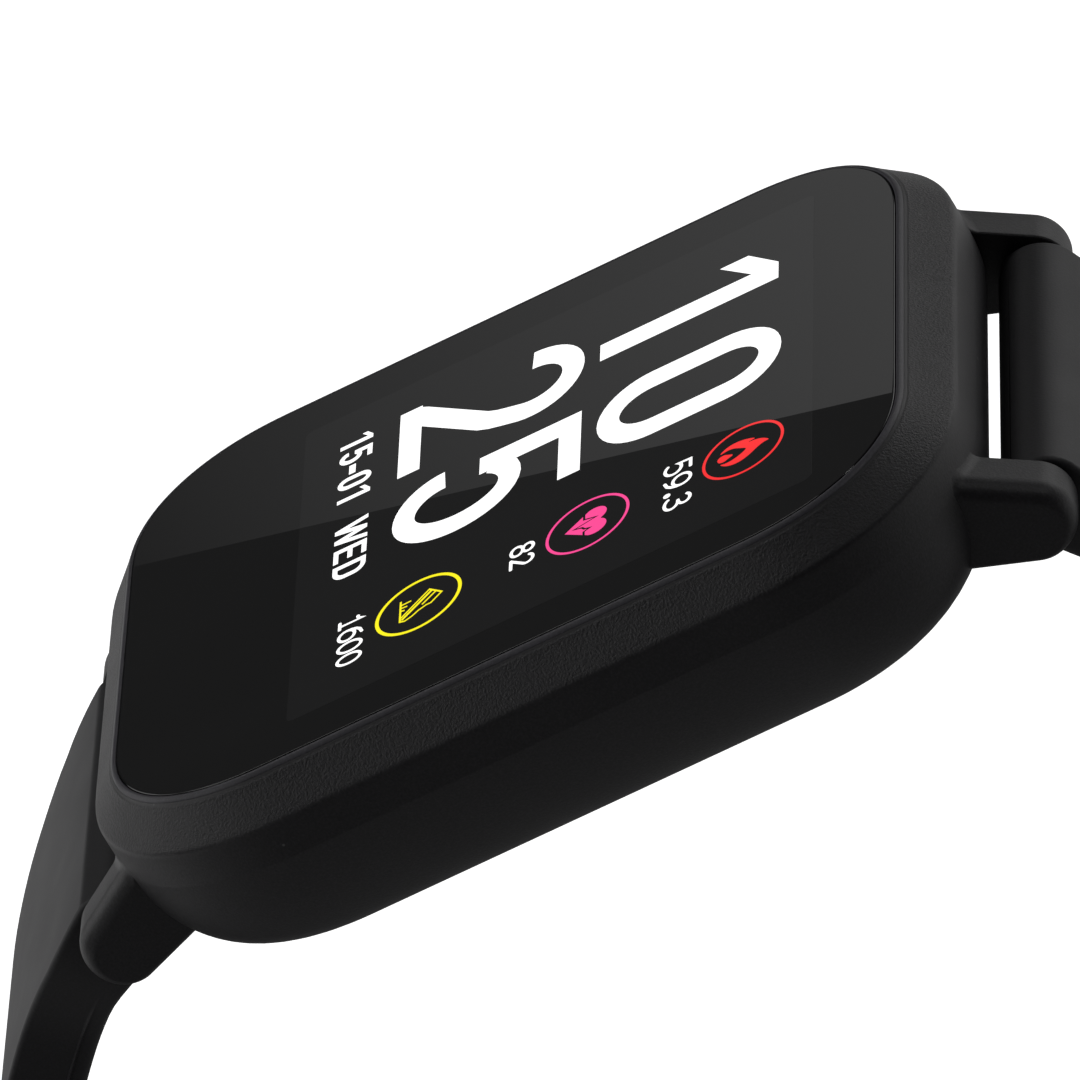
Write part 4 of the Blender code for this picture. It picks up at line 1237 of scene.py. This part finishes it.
def hole_cutter(station, side):
    """A slot cutter that flares at both faces, so that the hole's rims are rounded."""
    thick = read_table(THICKNESSES, station[0]) / 2
    rows = []
    for rise, flare in (
        (-thick - 0.3, 0.42), (-thick, 0.16), (-thick + 0.08, 0.05), (-thick + 0.2, 0.0),
        (thick - 0.2, 0.0), (thick - 0.08, 0.05), (thick, 0.16), (thick + 0.3, 0.42),
    ):
        outline = slot_outline(HOLE_HALF_LONG + flare, HOLE_HALF_WIDE + flare)
        rows.append([on_strap(station, across, rise, along, side) for along, across in outline])
    return loft("hole", rows)


def make_long_strap():
    path = strap_path(LONG_HEADINGS, LONG_LENGTH, 170)
    strap = loft("long_band", strap_rows(path, LONG_LENGTH, -1, TIP_LENGTH, eye=False))
    last = LONG_LENGTH - HOLE_FROM_TIP
    holes = [station_at(path, last - index * HOLE_PITCH) for index in range(HOLE_COUNT)]
    carve(strap, gather("holes", [hole_cutter(hole, -1) for hole in holes]))
    bore(strap, -BAR_Y, BAR_Z, BAR_BORE)
    settle(strap, "long_strap", "strap_silicone", ["strap_long"], 40)


def make_short_strap():
    path = strap_path(SHORT_HEADINGS, SHORT_LENGTH, 120)
    strap = loft("short_band", strap_rows(path, SHORT_LENGTH, 1, tip_length=0.0, eye=True))
    slot = [(x, PIN_Z - 5.0) for x in (-1.6, 1.6)]
    slot += arc((0.0, PIN_Z + 2.2), (1.6, 1.0), 0, 180, 12)
    carve(strap, loft("tongue_slot", [[(x, y, z) for x, z in slot] for y in (PIN_Y - 5, PIN_Y + 5)]))
    bore(strap, PIN_Y, PIN_Z, EYE_BORE)
    bore(strap, BAR_Y, BAR_Z, BAR_BORE)
    settle(strap, "short_strap", "strap_silicone", ["strap_short"], 40)


# ---- buckle and keepers ----


def make_keeper(name, node, body):
    """A soft loop round the strap, with a rounded band section."""
    low, high = node_box(node)
    middle = (low + high) / 2
    wall = 1.2
    outline = rounded_outline(high.x - wall / 2, (high.y - low.y) / 2 - wall / 2, 1.1, 2.0, 8, 8)
    half_long = (high.z - low.z) / 2
    outer = 0.3
    inner = 0.22
    section = []
    for across, along, radius, first in (
        (wall / 2 - outer, half_long - outer, outer, 0),
        (-wall / 2 + inner, half_long - inner, inner, 90),
        (-wall / 2 + inner, -half_long + inner, inner, 180),
        (wall / 2 - outer, -half_long + outer, outer, 270),
    ):
        section += arc((across, along), radius, first, first + 90, 5)
    rows = []
    for a, b in zip(*strip_sides(outline, 1.0, True)):
        centre = (a + b) / 2
        outward = b - a
        rows.append([
            (centre.x + outward.x * across, middle.y + centre.y + outward.y * across, middle.z + along)
            for across, along in section
        ])
    settle(loft(name, rows, ring=True), body, "strap_silicone", [node], 40)


def make_buckle():
    """A U of rounded bar whose two ends carry the pin."""
    low, high = node_box("buckle_frame")
    arm_x = (high.x + ARM_INNER) / 2
    arm_half = (high.x - ARM_INNER) / 2
    bar_half = 1.0
    bottom = low.z + bar_half
    bend = 2.0
    path = [(arm_x, high.z - 1.0 + 1.0 * k / 6, k / 6) for k in range(6, -1, -1)]
    path += [(arm_x, z, 0.0) for z in (PIN_Z - 1.5, PIN_Z - 3.5, PIN_Z - 5.5)]
    path += [(x, z, 0.0) for x, z in arc((arm_x - bend, bottom + bend), bend, 0, -90, 12)]
    path += [(x, bottom, 0.0) for x in (5.0, 2.5)]
    path += [(0.0, bottom, 0.0)] + [(-x, z, end) for x, z, end in reversed(path)]
    rows = []
    left, _ = strip_sides([(x, z) for x, z, _ in path], 2.0, False)
    for (x, z, end), a in zip(path, left):
        middle = Vector((x, z))
        normal = (a - middle).normalized()
        half_across = arm_half + (bar_half - arm_half) * ease((arm_x - abs(x)) / bend)
        half_deep = sqrt(max(1 - (end * 0.97) ** 2, 0.02))
        ring = []
        for across, deep in rounded_ring(half_across, half_deep, 0.5 * min(half_across, half_deep)):
            place = middle + normal * across
            ring.append((place.x, PIN_Y + deep, place.y))
        rows.append(ring)
    buckle = loft("buckle_hoop", rows)
    bore(buckle, PIN_Y, PIN_Z, PIN_BORE)
    settle(buckle, "buckle", "black_steel", ["buckle_frame"], 30)
    end = PIN_HIGH.x
    profile = [(-end, 0), (-end, 0.48), (-end + 0.1, 0.6)]
    profile += [(-along, radius) for along, radius in reversed(profile)]
    pin = turned("hinge_pin", profile, (0, PIN_Y, PIN_Z), "X", 48)
    settle(pin, "short_strap", "steel", ["buckle_pin"])


def make_tongue():
    """The tongue: an eye on the pin and a tapered, slightly bowed blade."""
    low, high = node_box("buckle_tongue")
    half = high.x
    reach = PIN_Z - low.z
    face = PIN_Y + 1.08
    stations = (
        (0.35, PIN_Y + 0.25, 0.75, 0.90), (-0.6, PIN_Y + 0.42, 0.82, 0.98),
        (-1.8, face - 0.02, 0.62, 1.0), (-3.0, face + 0.28, 0.52, 1.0), (-4.6, face + 0.46, 0.50, 1.0),
        (-6.2, face + 0.50, 0.48, 1.0), (-7.8, face + 0.48, 0.46, 0.97),
        (-9.2, face + 0.45, 0.43, 0.93), (-reach + 0.9, face + 0.43, 0.40, 0.86),
        (-reach + 0.3, face + 0.42, 0.33, 0.68), (-reach + 0.06, face + 0.42, 0.22, 0.45),
        (-reach, face + 0.42, 0.1, 0.2),
    )
    rows = []
    for drop, y, deep, wide in stations:
        across = half * wide * 0.96
        ring = rounded_ring(across, deep, 0.6 * min(deep, across))
        rows.append([(px, y + py, PIN_Z + drop) for px, py in ring])
    tongue = loft("tongue_blade", rows)
    eye = [(-half, 0), (-half, 1.13), (-half + 0.12, 1.25)]
    eye += [(-along, radius) for along, radius in reversed(eye)]
    join(tongue, turned("eye", eye, (0, PIN_Y, PIN_Z), "X", 48))
    bore(tongue, PIN_Y, PIN_Z, PIN_BORE, reach=3)
    settle(tongue, "tongue", "black_steel", ["buckle_tongue"], 30)


# ---- stage: lengths in metres ----

FLOOR_SIZE = 4.0
FLOOR_GAP = 0.001
FLOOR_GLOW = 0.88
ROOM_LIGHT = 0.02
LIGHT_DISTANCE = 0.8
REFLECTOR_DISTANCE = 0.30
REFLECTOR_HEIGHT = 0.06
CAMERA_DISTANCE = 0.66285
CAMERA_AZIMUTH = radians(15.504)
CAMERA_ELEVATION = radians(24.264)
CAMERA_ROLL = radians(31.646)
CAMERA_ASIDE = 0.00139
CAMERA_DROP = 0.002635
CAMERA_LENS = 526.7


def add_floor():
    """A pale floor below the strap: even white to the camera, and to everything else dark grey with a
    painted glow, stronger behind and to the left, that lights the watch and shows in its reflections.
    """
    bpy.ops.mesh.primitive_plane_add(size=FLOOR_SIZE, location=(0, 0, cad_box[0].z - FLOOR_GAP))
    floor = bpy.context.object
    floor.name = "floor"
    nodes = Nodes("floor_with_painted_glow")
    pale = nodes.mix(nodes.span(nodes.noise(40.0, 3.0), 0.3, 0.7), (0.86, 0.86, 0.86), (0.9, 0.9, 0.9))
    ray = nodes.add("ShaderNodeLightPath").outputs["Is Camera Ray"]
    nodes.feed("Base Color", nodes.mix(ray, (0.16, 0.16, 0.16), pale))
    # Painted glow for rays other than the camera's: a pool of light in the floor's own emission, which
    # changes from place to place.
    level = nodes.span(nodes.along("X"), -0.15, 0.0, 0.03, 0.16)
    for way, start, end, most in (
        ((1.0, 0.0), 0.08, 0.22, -0.10),
        ((-0.25, -1.0), 0.22, 0.5, 0.8),
        ((-0.8, 1.0), 0.08, 0.32, 0.45),
    ):
        inputs = {0: nodes.place, 1: (*way, 0.0)}
        along = nodes.add("ShaderNodeVectorMath", inputs, operation="DOT_PRODUCT")
        level = nodes.maths("ADD", nodes.span(along.outputs["Value"], start, end, 0.0, most), level)
    glow = nodes.add("ShaderNodeMix", {"Factor": ray, "A": level, "B": FLOOR_GLOW}, data_type="FLOAT")
    nodes.feed("Emission Strength", glow.outputs["Result"])
    nodes.feed("Emission Color", WHITE)
    nodes.feed("Roughness", 0.8)
    floor.data.materials.append(nodes.material)


def add_world():
    world = bpy.data.worlds.new("studio")
    world.use_nodes = True
    bpy.context.scene.world = world
    tree = world.node_tree
    background = tree.nodes["Background"]
    ray = tree.nodes.new("ShaderNodeLightPath")
    level = tree.nodes.new("ShaderNodeMapRange")
    level.inputs["To Min"].default_value = ROOM_LIGHT
    level.inputs["To Max"].default_value = 1.0
    tree.links.new(ray.outputs["Is Camera Ray"], level.inputs["Value"])
    tree.links.new(level.outputs["Result"], background.inputs["Strength"])
    background.inputs["Color"].default_value = WHITE


def direction(azimuth, elevation):
    """The unit vector at azimuth from +X towards +Y and elevation above the floor."""
    flat = cos(elevation)
    return Vector((cos(azimuth) * flat, sin(azimuth) * flat, sin(elevation)))


def add_softbox(name, azimuth, elevation, size, brightness):
    """A soft rectangular light that isn't seen itself, aimed at the watch.

    azimuth turns from +X towards +Y, in degrees; brightness is its radiance.
    """
    way = direction(radians(azimuth), radians(elevation))
    data = bpy.data.lights.new(name, "AREA")
    data.shape = "RECTANGLE"
    data.size, data.size_y = size
    data.energy = pi * size[0] * size[1] * brightness
    light = bpy.data.objects.new(name, data)
    light.location = way * LIGHT_DISTANCE
    light.rotation_euler = (-way).to_track_quat("-Z", "Y").to_euler()
    light.visible_camera = False
    bpy.context.scene.collection.objects.link(light)


def add_camera():
    """The camera looks down at the display, from between 3 o'clock and 12, and leans to a side."""
    back = direction(CAMERA_AZIMUTH, CAMERA_ELEVATION)
    level = Vector((0, 0, 1)).cross(back).normalized()
    upright = back.cross(level)
    right = level * cos(CAMERA_ROLL) - upright * sin(CAMERA_ROLL)
    up = level * sin(CAMERA_ROLL) + upright * cos(CAMERA_ROLL)
    data = bpy.data.cameras.new("camera")
    data.lens = CAMERA_LENS
    data.sensor_width = 36.0
    data.clip_start = 0.01
    data.clip_end = 20.0
    camera = bpy.data.objects.new("camera", data)
    glass = Vector((0, 0, GLASS_TOP * MM))
    camera.location = glass + right * CAMERA_ASIDE - up * CAMERA_DROP + back * CAMERA_DISTANCE
    camera.rotation_euler = Matrix((right, up, back)).transposed().to_euler()
    bpy.context.scene.collection.objects.link(camera)
    bpy.context.scene.camera = camera


def add_card(name, outline, low, high):
    """A glowing card that only reflections see. Its glow goes from low to high along Y."""
    builder = bmesh.new()
    builder.faces.new([builder.verts.new(corner) for corner in outline])
    card = object_of(name, builder)
    card.visible_camera = card.visible_shadow = card.visible_diffuse = False
    nodes = Nodes(name + "_glow")
    ends = sorted(corner.y for corner in outline[:2])
    nodes.feed("Emission Strength", nodes.span(nodes.along("Y"), *ends, low, high))
    nodes.feed("Emission Color", WHITE)
    nodes.feed("Base Color", (0, 0, 0, 1))
    card.data.materials.append(nodes.material)


def add_reflectors():
    """Two cards that the glass mirrors. The straight edge between them crosses the picture."""
    source = bpy.context.scene.camera.location
    ends = []
    for x, y in ((8.58, 18.3), (-7.85, -18.16)):
        place = Vector((x, y, GLASS_TOP)) * MM
        way = (place - source).normalized()
        way.z = -way.z
        ends.append(place + way * REFLECTOR_DISTANCE)
    near, far = ends
    along = (far - near) * 0.3
    near -= along
    far += along
    drop = Vector((0, 0, -REFLECTOR_HEIGHT))
    add_card("reflector", [near, far, far + drop, near + drop], 0.0, 0.37)
    add_card("reflector_top", [near - drop, far - drop, far, near], 0.03, 0.04)


def add_lights():
    """Soft lights all round: name, azimuth, elevation, size and brightness."""
    for softbox in (
        ("left_key", 292, 50, (0.4, 0.3), 1.6),
        ("left_top", 240, 52, (0.4, 0.3), 0.5),
        ("left_fill", 248, 30, (0.7, 0.3), 1.1),
        ("left_low", 248, 13, (0.5, 0.3), 0.8),
        ("front_fill", 318, 30, (0.6, 0.3), 0.5),
        ("front_low", 330, 13, (0.4, 0.3), 0.15),
        ("right_key", 146, 27, (0.5, 0.3), 1.1),
        ("right_rim", 141, 11, (0.4, 0.3), 1.15),
        ("corner_spark", 80, 45, (0.1, 0.1), 12),
        ("right_low", 112, 8, (0.4, 0.3), 0.6),
        ("back_top", 205, 56, (0.3, 0.25), 2.2),
        ("overhead", 0, 85, (0.4, 0.3), 0.7),
    ):
        add_softbox(*softbox)


def main():
    paint_frame()
    make_case()
    make_rim()
    make_glass()
    make_picture()
    make_rear_cover()
    make_back_pieces()
    make_spring_bars()
    make_long_strap()
    make_short_strap()
    make_keeper("keeper_band_fixed", "fixed_keeper", "short_strap")
    make_keeper("keeper_band_sliding", "sliding_keeper", "keeper_loop")
    make_buckle()
    make_tongue()
    add_floor()
    add_world()
    add_camera()
    add_reflectors()
    add_lights()
    bpy.context.scene.view_settings.view_transform = "Standard"


main()
